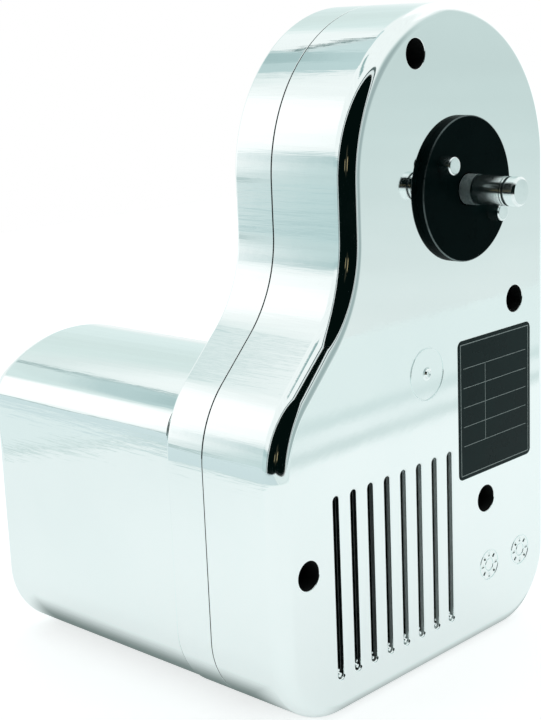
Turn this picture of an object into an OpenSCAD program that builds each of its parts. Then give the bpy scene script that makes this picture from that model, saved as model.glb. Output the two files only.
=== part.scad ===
// Electric drive unit for a pasta machine: a boot-shaped casing in two halves with a motor
// cover behind it, a three-stage spur gear train, and an output shaft inside a locking disc.
// Millimetres, +Z up. The origin is the output shaft's axis on the locking disc's outer face.
// X runs to the right seen from the front, and Y runs into the casing, away from the disc.

/* [Gear train] */
// Pressure angle of every gear
pressure_angle = 25; // [22:1:26]
// Play between meshing teeth, along the pitch circle
backlash = 0.12; // [0.1:0.01:0.2]
// Module of the motor stage
module_1 = 0.75; // [0.7:0.01:0.8]
// Teeth of the motor pinion
motor_pinion_teeth = 12; // [12:1:14]
// Teeth of the first gear's wheel
first_wheel_teeth = 60; // [56:1:62]
// Direction from the first axle to the motor axis
stage_1_angle = -140; // [-150:1:-130]
// Module of the middle stage
module_2 = 1; // [0.95:0.01:1.05]
// Teeth of the first gear's pinion
first_pinion_teeth = 14; // [13:1:15]
// Teeth of the second gear's wheel
second_wheel_teeth = 56; // [52:1:57]
// Direction from the second axle to the first axle
stage_2_angle = -108; // [-114:1:-102]
// Module of the output stage
module_3 = 1.25; // [1.2:0.01:1.3]
// Teeth of the second gear's pinion
second_pinion_teeth = 14; // [13:1:15]
// Teeth of the output gear
output_gear_teeth = 52; // [48:1:54]
// Direction from the output shaft to the second axle
stage_3_angle = -110; // [-116:1:-104]
// Radius of the first axle
first_axle_r = 2; // [1.8:0.1:2.3]
// Radius of the second axle
second_axle_r = 2.5; // [2.2:0.1:2.8]
// Radial clearance of every running fit
running_gap = 0.05; // [0.02:0.01:0.09]

/* [Gear faces] */
// From the casing's front wall to the output gear
output_gear_gap = 3; // [2.4:0.1:3.6]
// Face width of the output gear
output_face_w = 9; // [7:0.5:9]
// Face width of the second gear's wheel
second_face_w = 7; // [6:0.5:7.5]
// Face width of the first gear's wheel
first_face_w = 5; // [4:0.5:5.5]
// Gap between the gear planes
plane_gap = 1.5; // [1.2:0.1:1.8]
// How far a pinion is wider than the wheel it meshes with, at each end
pinion_overhang = 0.5; // [0.4:0.1:0.7]
// Wall of a wheel's hub
hub_wall = 3.5; // [3:0.5:4]
// Depth of a wheel's rim, inward from its pitch circle
rim_w = 4; // [3.5:0.5:4.5]
// Depth of the hollow in a wheel's side
wheel_hollow = 2; // [1:0.5:2.5]

/* [Casing] */
// Wall of every shell
wall = 2.5; // [2:0.1:2.8]
// Depth of the front half, from its face to the seam
front_depth = 27; // [26:0.5:30]
// Depth of the rear half, from the seam to its back
rear_depth = 14; // [13:0.5:17]
// Rounding of the front edge
front_fillet = 5.5; // [3.5:0.1:6]
// Rounding of the rear half's back edge
rear_fillet = 1.2; // [0.8:0.1:2]
// Radius of the round head
head_r = 45; // [43:0.5:47]
// Centre of the head, right of the output shaft
head_x = -2.4; // [-4:0.1:0]
// Centre of the head, above the output shaft
head_z = 5.2; // [3:0.1:7]
// Depth below the output shaft at which the neck begins to widen
neck_drop = 8; // [6:0.5:10]
// Radius of the hollow curve under the neck
neck_r = 36; // [30:1:40]
// Radius of the curve over the toe
toe_r = 30; // [24:1:34]
// Angle of the shoulder, from upright
shoulder_angle = 45; // [42:1:48]
// How far the casing's toe stands proud of the motor cover's side
cover_step = 1.2; // [0.8:0.1:2]
// From the motor axis down to the base
base_drop = 46.6; // [45:0.1:48]
// Radius of the two bottom corners
corner_r = 22; // [20:0.5:24]
// Height of the locating lip of the rear half, past the seam
lip_h = 2; // [1:0.1:3]
// Thickness of the locating lip
lip_t = 1.2; // [0.8:0.1:1.5]
// Clearance round the locating lip
lip_gap = 0.15; // [0.1:0.01:0.3]

/* [Vent slots] */
// Number of slots in the face
vent_count = 8; // [4:1:8]
// Width of a slot
vent_w = 2.5; // [2:0.1:3]
// Length of a slot
vent_l = 51; // [30:1:54]
// Distance from slot to slot
vent_pitch = 7.01; // [6:0.01:7.2]
// Middle of the slots, right of the motor axis
vent_shift = 14; // [12:0.1:15]
// Middle of the slots, below the motor axis
vent_drop = 10; // [8:0.5:11]

/* [Casing screws] */
// Radius of a screw well in the face
well_r = 4; // [3.8:0.1:4.5]
// Depth of a screw well
well_depth = 18; // [12:0.5:20]
// Wall round a screw well
well_wall = 1.5; // [1.2:0.1:1.8]
// Thickness of a well's floor
well_floor = 2.5; // [2:0.1:3]
// Radius of a screw's shank
screw_r = 1.75; // [1.5:0.05:2]
// Radius of a screw's head
screw_head_r = 3.3; // [3:0.1:3.6]
// Height of a screw's head
screw_head_h = 2.4; // [2:0.1:3]
// How far a screw bites into its boss
screw_bite = 12; // [8:0.5:13]
// Clearance round a shank in the part it passes through
screw_clearance = 0.2; // [0.1:0.05:0.3]
// Wall of a screw boss round the shank
boss_wall = 2.6; // [2:0.1:2.9]
// Distance of the head's left screw from the head's centre
head_screw_r = 36.2; // [36:0.1:37]
// Direction of the head's left screw from the head's centre
head_screw_angle = 118; // [112:1:122]
// The middle screw's distance inside the right side
middle_screw_inset = 17.4; // [16:0.1:18]
// The middle screw's depth below the output shaft
middle_screw_drop = 34.8; // [34:0.1:37]
// The bottom screws' height above the base
low_screw_rise = 43.85; // [42:0.1:46]
// The bottom left screw's distance inside the toe
toe_screw_inset = 10.3; // [10:0.1:11]
// The bottom right screw's distance inside the right side
heel_screw_inset = 32.4; // [28:0.1:34]

/* [Locking disc and studs] */
// Radius of the locking disc
disc_r = 20; // [18:0.5:22]
// Thickness of the locking disc
disc_t = 2.15; // [1.5:0.05:3]
// Radial clearance between the disc and the shaft
disc_gap = 0.3; // [0.2:0.05:0.5]
// Bevel of the disc's front edge
disc_bevel = 0.3; // [0.2:0.05:0.5]
// Pitch circle diameter of the studs
stud_pcd = 26.7; // [26:0.1:28]
// Direction of the first stud from the shaft
stud_angle = 146.3; // [140:0.1:150]
// Radius of a stud's head
stud_r = 2.5; // [2.2:0.1:2.8]
// Height of a stud's head off the disc
stud_h = 4; // [3:0.1:5]
// Added radius of a stud inside the disc
stud_step = 0.2; // [0.16:0.02:0.3]
// Radius of a stud's shank
stud_shank_r = 1.6; // [1.2:0.1:1.9]
// Bevel of a stud's head
stud_bevel = 0.5; // [0.3:0.1:0.7]

/* [Output shaft] */
// Radius of the shaft where it drives the machine
shaft_r = 4; // [3.8:0.05:4.2]
// Added radius of the bearing part of the shaft
bearing_step = 0.2; // [0.16:0.02:0.3]
// How far the shaft stands out of the disc
shaft_reach = 17.4; // [14:0.1:20]
// How far the bearing part stands out of the disc
collar_reach = 3.6; // [2:0.1:5]
// Middle of the groove, behind the shaft's tip
groove_back = 3.6; // [3:0.1:4.5]
// Width of the groove
groove_w = 0.9; // [0.6:0.1:1.2]
// Depth of the groove
groove_depth = 0.5; // [0.3:0.05:0.7]
// Bevel of the shaft's tip
tip_bevel = 0.66; // [0.4:0.02:0.9]
// Wall of an output bush
bush_wall = 2; // [1.6:0.1:2.2]
// Thickness of an output bush's flange
bush_flange = 1.2; // [1:0.1:1.6]
// Height of the bush bosses inside the casing
bush_boss_h = 5; // [4:0.1:5.4]

/* [Motor cover] */
// Width of the motor cover
cover_w = 62.4; // [61:0.2:64]
// Depth of the motor cover
cover_depth = 79.6; // [79:0.2:84]
// Radius of the cover's roof, about the motor axis
cover_roof_r = 46; // [45:0.2:48]
// Radius of the cover's upper corners
cover_corner_r = 10; // [8:0.5:12]
// Radius of the cover's bottom corners
cover_base_r = 21; // [19:0.5:23]
// Rounding of the cover's rear edge
cover_fillet = 5; // [3:0.1:5]
// Upper screw bosses, left and right of the motor axis
cover_boss_up_x = 12; // [10:0.5:13]
// Upper screw bosses, below the roof
cover_boss_up_inset = 6.2; // [5.8:0.1:6.4]
// Direction of a lower screw boss from the centre of its bottom corner, below level
cover_boss_angle = 50; // [45:1:55]
// Lower screw bosses, inside the bottom corner's curve
cover_boss_down_inset = 5.3; // [5:0.1:5.6]
// Length of the cover's screw bosses
cover_boss_l = 12; // [10:0.5:13]

/* [Motor] */
// Radius of the armature shaft
armature_shaft_r = 2.5; // [2.2:0.1:2.8]
// Radius of the armature's laminations
armature_r = 15.5; // [14.5:0.1:16]
// Air gap round the armature
air_gap = 0.7; // [0.5:0.05:1]
// Gap between the armature shaft's end and the cover's rear wall
motor_end_gap = 4.9; // [4:0.1:6]
// Gap between the stator and the cover's sides
stator_side_gap = 2.2; // [1.8:0.1:3]
// Gap between the stator's corners and the cover's roof
stator_roof_gap = 3.5; // [3.2:0.1:5]
// Depth of the field coils, from the bore outward
coil_t = 6; // [5:0.1:6.5]
// Half the angle that a field coil spans
coil_half_angle = 62; // [58:1:64]
// Half the angle of a stator pole inside its coil
pole_half_angle = 36; // [32:1:40]
// How far a coil stands out of the laminations at each end
coil_overhang = 4; // [3:0.5:5]
// Gap between a coil and the iron
coil_gap = 0.3; // [0.2:0.05:0.5]
// From the casing's back to the front of the stator
stator_setback = 22; // [21:0.5:23]
// Radius of the cooling fan
fan_r = 22; // [18:0.5:23]
// Thickness of the cooling fan
fan_t = 8; // [6:0.5:9]
// Number of fan blades
fan_blades = 9; // [6:1:11]
// Radius of the commutator
commutator_r = 8.5; // [7.5:0.1:9]
// Length of the commutator
commutator_l = 8; // [7:0.5:9]
// Thickness of a motor bracket
bracket_t = 2; // [1.5:0.1:2.5]
// Radius of a motor bearing
motor_bearing_r = 6; // [5:0.1:7]
// Length of a motor bearing
motor_bearing_l = 5; // [4:0.5:6]
// Radius of the long motor bolts
motor_bolt_r = 1.5; // [1.2:0.1:1.8]
// Height and width of a carbon brush
brush_w = 4.5; // [4:0.1:5]
// Length of a carbon brush
brush_l = 8; // [7:0.5:9]
// Wall of a brush holder
brush_wall = 1; // [0.8:0.1:1.2]

/* [Switch and inlet] */
// Height of the switch above the motor axis
switch_rise = 25; // [24.8:0.1:25.6]
// Width of the rocker
rocker_w = 11.4; // [10:0.1:12]
// Height of the rocker
rocker_h = 17.4; // [16:0.1:17.6]
// Thickness of the rocker's plate
rocker_t = 2.4; // [2:0.1:3]
// Tilt of the rocker at each end of its travel
rocker_tilt = 10; // [7:0.5:11]
// Gap round the rocker
rocker_gap = 0.4; // [0.3:0.05:0.6]
// Depth of the switch body behind the cover's rear wall
switch_depth = 14; // [13:0.5:14.5]
// Depth of the inlet below the motor axis
inlet_drop = 29; // [28.5:0.1:30]
// Width of the inlet's socket
socket_w = 18.4; // [17:0.1:20]
// Height of the inlet's socket
socket_h = 8.8; // [8.4:0.1:9.2]
// Depth of the inlet's socket
socket_depth = 12; // [10:0.5:13]
// Distance between the inlet's pins
pin_pitch = 8.6; // [8.4:0.1:8.8]
// Radius of an inlet pin
inlet_pin_r = 1.2; // [1:0.1:1.3]
// Wall of the inlet and of the switch body
moulding_wall = 1.5; // [1.2:0.1:1.8]
// How far the flange of the inlet or switch reaches past its body
flange_rim = 2.2; // [1.6:0.1:2.6]
// Thickness of the flange of the inlet or switch
flange_t = 1.4; // [1:0.1:1.8]

/* [Label and mould marks] */
// Width of the label
label_w = 35.9; // [30:0.1:38]
// Height of the label
label_h = 40.8; // [36:0.1:44]
// Rounding of the label's corners
label_r = 1.8; // [1:0.1:3]
// The label's distance inside the right side
label_inset = 9.5; // [8:0.1:12]
// Top of the label, below the output shaft
label_drop = 42.9; // [42:0.1:46]
// Thickness of the label
label_t = 0.4; // [0.3:0.05:0.6]
// Depth of the recess that the label lies in
recess_depth = 0.3; // [0.2:0.05:0.4]
// Radius of the gate mark
gate_r = 7.5; // [6:0.1:8.5]
// Radius of a mould date dial
dial_r = 4.7; // [4:0.1:5.2]
// Depth of a mould mark
mark_depth = 0.25; // [0.15:0.05:0.4]
// Width of a mould mark's line
mark_w = 0.35; // [0.25:0.05:0.6]

/* [Hidden] */
$fn = 48;
// A small length by which a cut runs past the face it opens
eps = 0.01;

// Axes of the train, each [x, z]
function polar(r, a) = [r * cos(a), r * sin(a)];
a1 = module_1 * (motor_pinion_teeth + first_wheel_teeth) / 2;
a2 = module_2 * (first_pinion_teeth + second_wheel_teeth) / 2;
a3 = module_3 * (second_pinion_teeth + output_gear_teeth) / 2;
output_at = [0, 0];
second_at = output_at + polar(a3, stage_3_angle);
first_at = second_at + polar(a2, stage_2_angle);
motor_at = first_at + polar(a1, stage_1_angle);

// Planes along Y
face_y = disc_t;
inner_y = face_y + wall;
seam_y = face_y + front_depth;
back_y = seam_y + rear_depth;
cavity_y = back_y - wall;
cover_y = back_y + cover_depth;
cover_in_y = cover_y - wall;
gear_3_y = inner_y + output_gear_gap;
gear_2_y = gear_3_y + output_face_w + plane_gap;
gear_1_y = gear_2_y + second_face_w + plane_gap;
gear_1_end = gear_1_y + first_face_w;

// Sides of the casing
left_x = motor_at[0] - cover_w / 2 - cover_step;
right_x = head_x + head_r;
neck_x = head_x - head_r;
base_z = motor_at[1] - base_drop;
neck_z = -neck_drop;
shoulder_run = neck_x - left_x - (neck_r + toe_r) * (1 - cos(shoulder_angle));
toe_z = neck_z - shoulder_run / tan(shoulder_angle) - (neck_r + toe_r) * sin(shoulder_angle);

// Screws of the casing, each [x, z]
screws_at = [
    [head_x, head_z] + polar(head_screw_r, head_screw_angle),
    [right_x - middle_screw_inset, -middle_screw_drop],
    [right_x - heel_screw_inset, base_z + low_screw_rise],
    [left_x + toe_screw_inset, base_z + low_screw_rise]
];
well_y = face_y + well_depth;
boss_y = well_y + well_floor;

// Screws of the motor cover, each [x, z]
boss_up_z = sqrt(pow(cover_roof_r - cover_boss_up_inset, 2) - pow(cover_boss_up_x, 2));
boss_down = polar(cover_base_r - cover_boss_down_inset, -cover_boss_angle);
boss_down_x = cover_w / 2 - cover_base_r + boss_down[0];
cover_screws_at = [
    for (side = [-1, 1]) each [
        [motor_at[0] + side * cover_boss_up_x, motor_at[1] + boss_up_z],
        [motor_at[0] + side * boss_down_x, base_z + cover_base_r + boss_down[1]]
    ]
];
cover_screw_r = 1.4;
cover_screw_head_r = 2.6;
cover_screw_head_h = 2;

// Output shaft
bearing_r = shaft_r + bearing_step;
shaft_end_y = back_y - 0.4;
bush_r = bearing_r + bush_wall;

// Motor along Y, from both ends of the cover inward
bearing_clearance = 1.6;
shaft_overrun = 0.6;
stator_y = back_y + stator_setback;
fan_y = back_y + motor_bearing_l + bearing_clearance;
armature_end = cover_in_y - motor_end_gap;
rear_bracket_y = armature_end - shaft_overrun - motor_bearing_l;
commutator_y = rear_bracket_y - bearing_clearance - commutator_l;
stator_end = commutator_y - 3 - coil_overhang;
stator_w = cover_w - 2 * wall - 2 * stator_side_gap;
stator_h = 2 * sqrt(pow(cover_roof_r - wall - stator_roof_gap, 2) - pow(stator_w / 2, 2));
stator_bore_r = armature_r + air_gap;
bolt_inset = motor_bolt_r + 1.7;
bolt_x = stator_w / 2 - bolt_inset;
bolt_z = stator_h / 2 - bolt_inset;
bolts_at = [for (sx = [-1, 1], sz = [-1, 1]) [motor_at[0] + sx * bolt_x, motor_at[1] + sz * bolt_z]];
brush_y = commutator_y + commutator_l / 2;
holder_l = brush_l + 6;

// Switch and inlet
switch_at = [motor_at[0], motor_at[1] + switch_rise];
inlet_at = [motor_at[0], motor_at[1] - inlet_drop];
opening_w = rocker_w + 2 * rocker_gap;
rocker_rise = 3.6;
opening_h = 2 * (rocker_h / 2 * cos(rocker_tilt) + (rocker_rise + rocker_t) * sin(rocker_tilt) + rocker_gap);
switch_w = opening_w + 2 * moulding_wall;
switch_h = opening_h + 2 * moulding_wall;
pivot_y = cover_y - 3.2;
hub_r = 2.6;
pivot_r = 1.1;
inlet_w = socket_w + 2 * moulding_wall;
inlet_h = socket_h + 2 * moulding_wall;
inlet_end_y = cover_y - socket_depth - moulding_wall;

// Label
label_x = right_x - label_inset - label_w;
label_z = -label_drop - label_h;

// ---------- shapes ----------

// A flat shape drawn in X and Z, as a slab from y0 to y1
module slab(y0, y1) translate([0, y1, 0]) rotate([90, 0, 0]) linear_extrude(y1 - y0) children();

// A rod along Y
module rod(at, r, y0, y1) translate([at[0], y1, at[1]]) rotate([90, 0, 0]) cylinder(r = r, h = y1 - y0);

// A cone along Y, of radius ra at y0 and rb at y1
module cone(at, ra, rb, y0, y1) {
    translate([at[0], y1, at[1]]) rotate([90, 0, 0]) cylinder(r1 = rb, r2 = ra, h = y1 - y0);
}

// A ring along Y
module ring(at, ro, ri, y0, y1) {
    difference() {
        rod(at, ro, y0, y1);
        rod(at, ri, y0 - eps, y1 + eps);
    }
}

// Points of an arc about c, both ends counted
function arc(c, r, from, to, n) = [for (i = [0:n]) c + polar(r, from + (to - from) * i / n)];

// Points of an arc about c, without its two ends
function arc_inside(c, r, from, to, n) = [for (i = [1:n - 1]) c + polar(r, from + (to - from) * i / n)];

// Outline of the casing, set in by d, anticlockwise from the right side
function casing_outline(d) = concat(
    arc([head_x, head_z], head_r - d, 0, 180, 28),
    arc([neck_x - neck_r, neck_z], neck_r + d, 0, -shoulder_angle, 7),
    arc([left_x + toe_r, toe_z], toe_r - d, 180 - shoulder_angle, 180, 7),
    arc([left_x + corner_r, base_z + corner_r], corner_r - d, 180, 270, 9),
    arc([right_x - corner_r, base_z + corner_r], corner_r - d, 270, 360, 9)
);

// Outline of the motor cover, set in by d, anticlockwise from the right side
corner_dx = cover_w / 2 - cover_corner_r;
corner_dz = sqrt(pow(cover_roof_r - cover_corner_r, 2) - corner_dx * corner_dx);
roof_angle = atan2(corner_dz, corner_dx);
cover_base_dx = cover_w / 2 - cover_base_r;
function cover_outline(d) = concat(
    arc(motor_at + [corner_dx, corner_dz], cover_corner_r - d, 0, roof_angle, 5),
    arc_inside(motor_at, cover_roof_r - d, roof_angle, 180 - roof_angle, 12),
    arc(motor_at + [-corner_dx, corner_dz], cover_corner_r - d, 180 - roof_angle, 180, 5),
    arc([motor_at[0] - cover_base_dx, base_z + cover_base_r], cover_base_r - d, 180, 270, 9),
    arc([motor_at[0] + cover_base_dx, base_z + cover_base_r], cover_base_r - d, 270, 360, 9)
);

// A closed skin through rings of equal length, each a list of [x, z] at its own y
module skin(rings, ys) {
    n = len(rings[0]);
    last = (len(rings) - 1) * n;
    points = [for (k = [0:len(rings) - 1], p = rings[k]) [p[0], ys[k], p[1]]];
    sides = [
        for (k = [0:len(rings) - 2], i = [0:n - 1])
            let (a = k * n + i, b = k * n + (i + 1) % n)
                each [[a, b, b + n], [a, b + n, a + n]]
    ];
    front = [[for (i = [n - 1:-1:0]) i]];
    back = [[for (i = [0:n - 1]) last + i]];
    polyhedron(points = points, faces = concat(front, sides, back));
}

fillet_steps = 5;
function fillet_in(r) = [for (i = [0:fillet_steps]) r * (1 - sin(90 * i / fillet_steps))];
function fillet_down(r) = [for (i = [0:fillet_steps]) r * (1 - cos(90 * i / fillet_steps))];

// An involute gear drawn in X and Z with a tooth centred on direction `tooth_at`
addendum = 1;
dedendum = 1.2;
flank_steps = 4;
function inv_deg(a) = tan(a) * 180 / PI - a;
module gear_shape(m, z, tooth_at) {
    pitch_r = m * z / 2;
    base_r = pitch_r * cos(pressure_angle);
    tip_r = pitch_r + addendum * m;
    root_r = pitch_r - dedendum * m;
    start_r = max(base_r, root_r);
    pitch_half = 90 / z - backlash / 4 / pitch_r * 180 / PI;
    function half(r) = pitch_half + inv_deg(pressure_angle) - inv_deg(acos(min(1, base_r / r)));
    radii = [for (i = [0:flank_steps]) start_r + (tip_r - start_r) * i / flank_steps];
    root = base_r > root_r ? [root_r] : [];
    polygon([
        for (t = [0:z - 1])
            let (a = tooth_at + 360 * t / z)
                each concat(
                    [for (r = root) polar(r, a - half(start_r))],
                    [for (r = radii) polar(r, a - half(r))],
                    [for (i = [flank_steps:-1:0]) polar(radii[i], a + half(radii[i]))],
                    [for (r = root) polar(r, a + half(start_r))]
                )
    ]);
}

// A spur gear at `at` with one tooth centred on direction `tooth_at`
module spur(at, m, z, tooth_at, y0, y1) slab(y0, y1) translate(at) gear_shape(m, z, tooth_at);

// A wheel's direction that puts a gap, not a tooth, at direction a
function gap_at(a, z) = a + 180 / z;

// A sector of a ring drawn in X and Z
module sector(ri, ro, from, to) {
    n = 12;
    polygon(concat(arc([0, 0], ro, from, to, n), arc([0, 0], ri, to, from, n)));
}

// A rounded rectangle drawn in X and Z from its lower left corner
module rounded_plate(w, h, r) {
    translate([r, 0]) square([w - 2 * r, h]);
    translate([0, r]) square([w, h - 2 * r]);
    for (x = [r, w - r], z = [r, h - r]) translate([x, z]) circle(r);
}

// A slot with round ends drawn in X and Z about its middle, long side upright
module slot(w, l) {
    square([w, l - w], center = true);
    for (s = [-1, 1]) translate([0, s * (l - w) / 2]) circle(w / 2);
}

// A screw along Y: the head's top at y0, its tip at y1
module screw(at, head_r, head_h, r, y0, y1) {
    recess_r = head_r * 0.45;
    difference() {
        union() {
            rod(at, head_r, y0, y0 + head_h);
            rod(at, r, y0 + head_h - eps, y1);
        }
        for (turn = [0, 90]) {
            translate([at[0], y0 + head_h * 0.3, at[1]]) rotate([0, turn, 0])
                cube([2 * recess_r, head_h, head_r * 0.25], center = true);
        }
    }
}

// ---------- casing ----------

module screw_wells_outside() {
    for (at = screws_at) rod(at, well_r + well_wall, face_y + wall / 2, boss_y);
}

module screw_wells_inside() {
    for (at = screws_at) {
        rod(at, well_r, face_y - eps, well_y);
        rod(at, screw_r + screw_clearance, well_y - eps, boss_y + eps);
    }
}

axle_boss_h = gear_3_y - pinion_overhang - 0.4 - inner_y;
axle_boss_wall = 2;
first_boss_front_y = gear_2_y - pinion_overhang - 0.4;

module face_vents() {
    middle = motor_at + [vent_shift, -vent_drop];
    for (i = [0:vent_count - 1]) {
        at = middle + [(i - (vent_count - 1) / 2) * vent_pitch, 0];
        slab(face_y - eps, inner_y + eps) translate(at) slot(vent_w, vent_l);
    }
}

// Shallow ring, as a groove in the face
module face_ring(at, r) ring(at, r, r - mark_w, face_y - eps, face_y + mark_depth);

gate_at = [head_x - 14.6, -49];
dials_at = [for (x = [31.1, 15.1]) [right_x - x, base_z + 22.8]];
dial_ticks = 12;

module mould_marks() {
    face_ring(gate_at, gate_r);
    for (at = dials_at) {
        face_ring(at, dial_r);
        face_ring(at, dial_r * 0.45);
        for (i = [0:dial_ticks - 1]) {
            translate([at[0], face_y, at[1]]) rotate([0, 360 * i / dial_ticks, 0])
                translate([dial_r * 0.7, 0, 0]) cube([dial_r * 0.28, 2 * mark_depth, mark_w], center = true);
        }
    }
}

module front_cover() color("#dfe9ea") {
    insets = concat(fillet_in(front_fillet), [0]);
    downs = concat(fillet_down(front_fillet), [front_depth]);
    difference() {
        union() {
            difference() {
                skin([for (d = insets) casing_outline(d)], [for (h = downs) face_y + h]);
                slab(inner_y, seam_y + eps) polygon(casing_outline(wall));
            }
            intersection() {
                screw_wells_outside();
                slab(face_y + wall / 2, seam_y) polygon(casing_outline(wall / 2));
            }
            rod(output_at, bush_r + 2, inner_y - eps, inner_y + bush_flange);
            rod(second_at, second_axle_r + axle_boss_wall, inner_y - eps, inner_y + axle_boss_h);
            rod(first_at, first_axle_r + axle_boss_wall, inner_y - eps, first_boss_front_y);
            rod(gate_at, 0.9, face_y - 0.25, face_y + eps);
        }
        screw_wells_inside();
        rod(output_at, bush_r, face_y - eps, inner_y + bush_flange + eps);
        rod(second_at, second_axle_r, face_y + 1, inner_y + axle_boss_h + eps);
        rod(first_at, first_axle_r, face_y + 1, first_boss_front_y + eps);
        for (a = [stud_angle, stud_angle + 180]) {
            rod(polar(stud_pcd / 2, a), stud_shank_r, face_y - eps, inner_y + eps);
        }
        face_vents();
        mould_marks();
        slab(face_y - eps, face_y + recess_depth) translate([label_x, label_z]) rounded_plate(label_w, label_h, label_r);
    }
}

motor_hole_r = motor_bearing_r + 1;

module rear_housing() color("#d7e2e4") {
    insets = concat([0], [for (i = [fillet_steps:-1:0]) fillet_in(rear_fillet)[i]]);
    ups = concat([0], [for (i = [fillet_steps:-1:0]) rear_depth - fillet_down(rear_fillet)[i]]);
    difference() {
        union() {
            difference() {
                skin([for (d = insets) casing_outline(d)], [for (h = ups) seam_y + h]);
                slab(seam_y - eps, cavity_y) polygon(casing_outline(wall));
            }
            difference() {
                slab(seam_y - lip_h, seam_y + lip_t) polygon(casing_outline(wall + lip_gap));
                slab(seam_y - lip_h - eps, seam_y + lip_t + eps) polygon(casing_outline(wall + lip_gap + lip_t));
                for (at = screws_at) rod(at, well_r + well_wall + lip_gap, seam_y - lip_h - eps, seam_y);
            }
            intersection() {
                slab(seam_y, seam_y + lip_t) difference() {
                    polygon(casing_outline(wall / 2));
                    polygon(casing_outline(wall + lip_gap + lip_t));
                }
                slab(seam_y, back_y) polygon(casing_outline(0.1));
            }
            for (at = screws_at) rod(at, screw_r + boss_wall, boss_y, cavity_y + eps);
            rod(second_at, second_axle_r + axle_boss_wall, gear_2_y + second_face_w + 0.8, cavity_y + eps);
            rod(first_at, first_axle_r + axle_boss_wall, gear_1_end + 0.8, cavity_y + eps);
            rod(output_at, bush_r + 2, cavity_y - bush_boss_h, cavity_y + eps);
        }
        for (at = screws_at) rod(at, screw_r, boss_y - eps, well_y + well_floor + screw_bite + 0.5);
        rod(second_at, second_axle_r, gear_2_y, cavity_y);
        rod(first_at, first_axle_r, gear_1_y, cavity_y);
        rod(output_at, bush_r, cavity_y - bush_boss_h - eps, back_y - 0.8);
        rod(motor_at, motor_hole_r, cavity_y - eps, back_y + eps);
        for (at = cover_screws_at) rod(at, cover_screw_r + screw_clearance, cavity_y - eps, back_y + eps);
        for (at = bolts_at) rod(at, motor_bolt_r, cavity_y - eps, back_y + eps);
    }
}

// Outlet slots in the cover's right side
side_vents = 7;
side_vent_l = 32;
side_vent_drop = 4;
side_vents_back = cover_fillet + 4;
module cover_side_vents() {
    last_y = cover_y - side_vents_back;
    for (i = [0:side_vents - 1]) {
        translate([motor_at[0] + cover_w / 2, last_y - i * vent_pitch, motor_at[1] - side_vent_drop])
            cube([4 * wall, vent_w, side_vent_l], center = true);
    }
}

module motor_cover() color("#dde7e8") {
    insets = concat([0], [for (i = [fillet_steps:-1:0]) fillet_in(cover_fillet)[i]]);
    ups = concat([0], [for (i = [fillet_steps:-1:0]) cover_depth - fillet_down(cover_fillet)[i]]);
    difference() {
        union() {
            difference() {
                skin([for (d = insets) cover_outline(d)], [for (h = ups) back_y + h]);
                slab(back_y - eps, cover_in_y) polygon(cover_outline(wall));
            }
            intersection() {
                for (at = cover_screws_at) rod(at, cover_screw_r + boss_wall, back_y, back_y + cover_boss_l);
                slab(back_y, cover_y) polygon(cover_outline(wall / 2));
            }
        }
        for (at = cover_screws_at) rod(at, cover_screw_r, back_y - eps, back_y + cover_boss_l - 1);
        slab(cover_in_y - eps, cover_y + eps) translate(switch_at) square([switch_w, switch_h], center = true);
        slab(cover_in_y - eps, cover_y + eps) translate(inlet_at) rotate(90) slot(inlet_h, inlet_w);
        cover_side_vents();
    }
}

module label_plate() color("#26302f") {
    y1 = face_y + recess_depth;
    slab(y1 - label_t, y1) translate([label_x, label_z]) rounded_plate(label_w, label_h, label_r);
}

module casing_screws() color("#8d9296") {
    for (at = screws_at) {
        screw(at, screw_head_r, screw_head_h, screw_r, well_y - screw_head_h, boss_y + screw_bite);
    }
}

module cover_screws() color("#8d9296") {
    for (at = cover_screws_at) {
        screw(at, cover_screw_head_r, cover_screw_head_h, cover_screw_r,
            cavity_y - cover_screw_head_h, back_y + cover_boss_l - 2);
    }
}

// ---------- locking disc, studs and output ----------

module locking_disc() color("#141618") {
    difference() {
        union() {
            rod(output_at, disc_r, disc_bevel, disc_t);
            cone(output_at, disc_r - disc_bevel, disc_r, 0, disc_bevel);
        }
        rod(output_at, bearing_r + disc_gap, -eps, disc_t + eps);
        for (a = [stud_angle, stud_angle + 180]) rod(polar(stud_pcd / 2, a), stud_r + stud_step, -eps, disc_t + eps);
    }
}

module locking_studs() color("#c9cdd0") {
    rivet_h = 0.8;
    rivet_rim = 0.8;
    for (a = [stud_angle, stud_angle + 180]) {
        at = polar(stud_pcd / 2, a);
        cone(at, stud_r - stud_bevel, stud_r, -stud_h, stud_bevel - stud_h);
        rod(at, stud_r, stud_bevel - stud_h, eps);
        rod(at, stud_r + stud_step, 0, face_y);
        rod(at, stud_shank_r, face_y - eps, inner_y + eps);
        rod(at, stud_shank_r + rivet_rim, inner_y, inner_y + rivet_h);
    }
}

module output_shaft() color("#b9bec2") {
    groove_y = groove_back - shaft_reach;
    ring_y = gear_3_y - 0.9;
    difference() {
        union() {
            cone(output_at, shaft_r - tip_bevel, shaft_r, -shaft_reach, tip_bevel - shaft_reach);
            rod(output_at, shaft_r, tip_bevel - shaft_reach, -collar_reach);
            rod(output_at, bearing_r, -collar_reach, shaft_end_y - 1);
        }
        ring(output_at, 2 * shaft_r, shaft_r - groove_depth, groove_y - groove_w / 2, groove_y + groove_w / 2);
        ring(output_at, 2 * shaft_r, bearing_r - 0.6, ring_y, ring_y + 0.8);
    }
}

module retaining_ring() color("#8a8f93") {
    ring_y = gear_3_y - 0.9;
    difference() {
        ring(output_at, bearing_r + 1.8, bearing_r - 0.6, ring_y, ring_y + 0.8);
        translate([0, ring_y, bearing_r]) cube([3, 4, 6], center = true);
    }
}

module output_bush_front() color("#b08a4a") {
    y0 = face_y;
    y1 = inner_y + bush_flange;
    ring(output_at, bush_r, bearing_r + running_gap, y0, y1);
}

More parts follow.
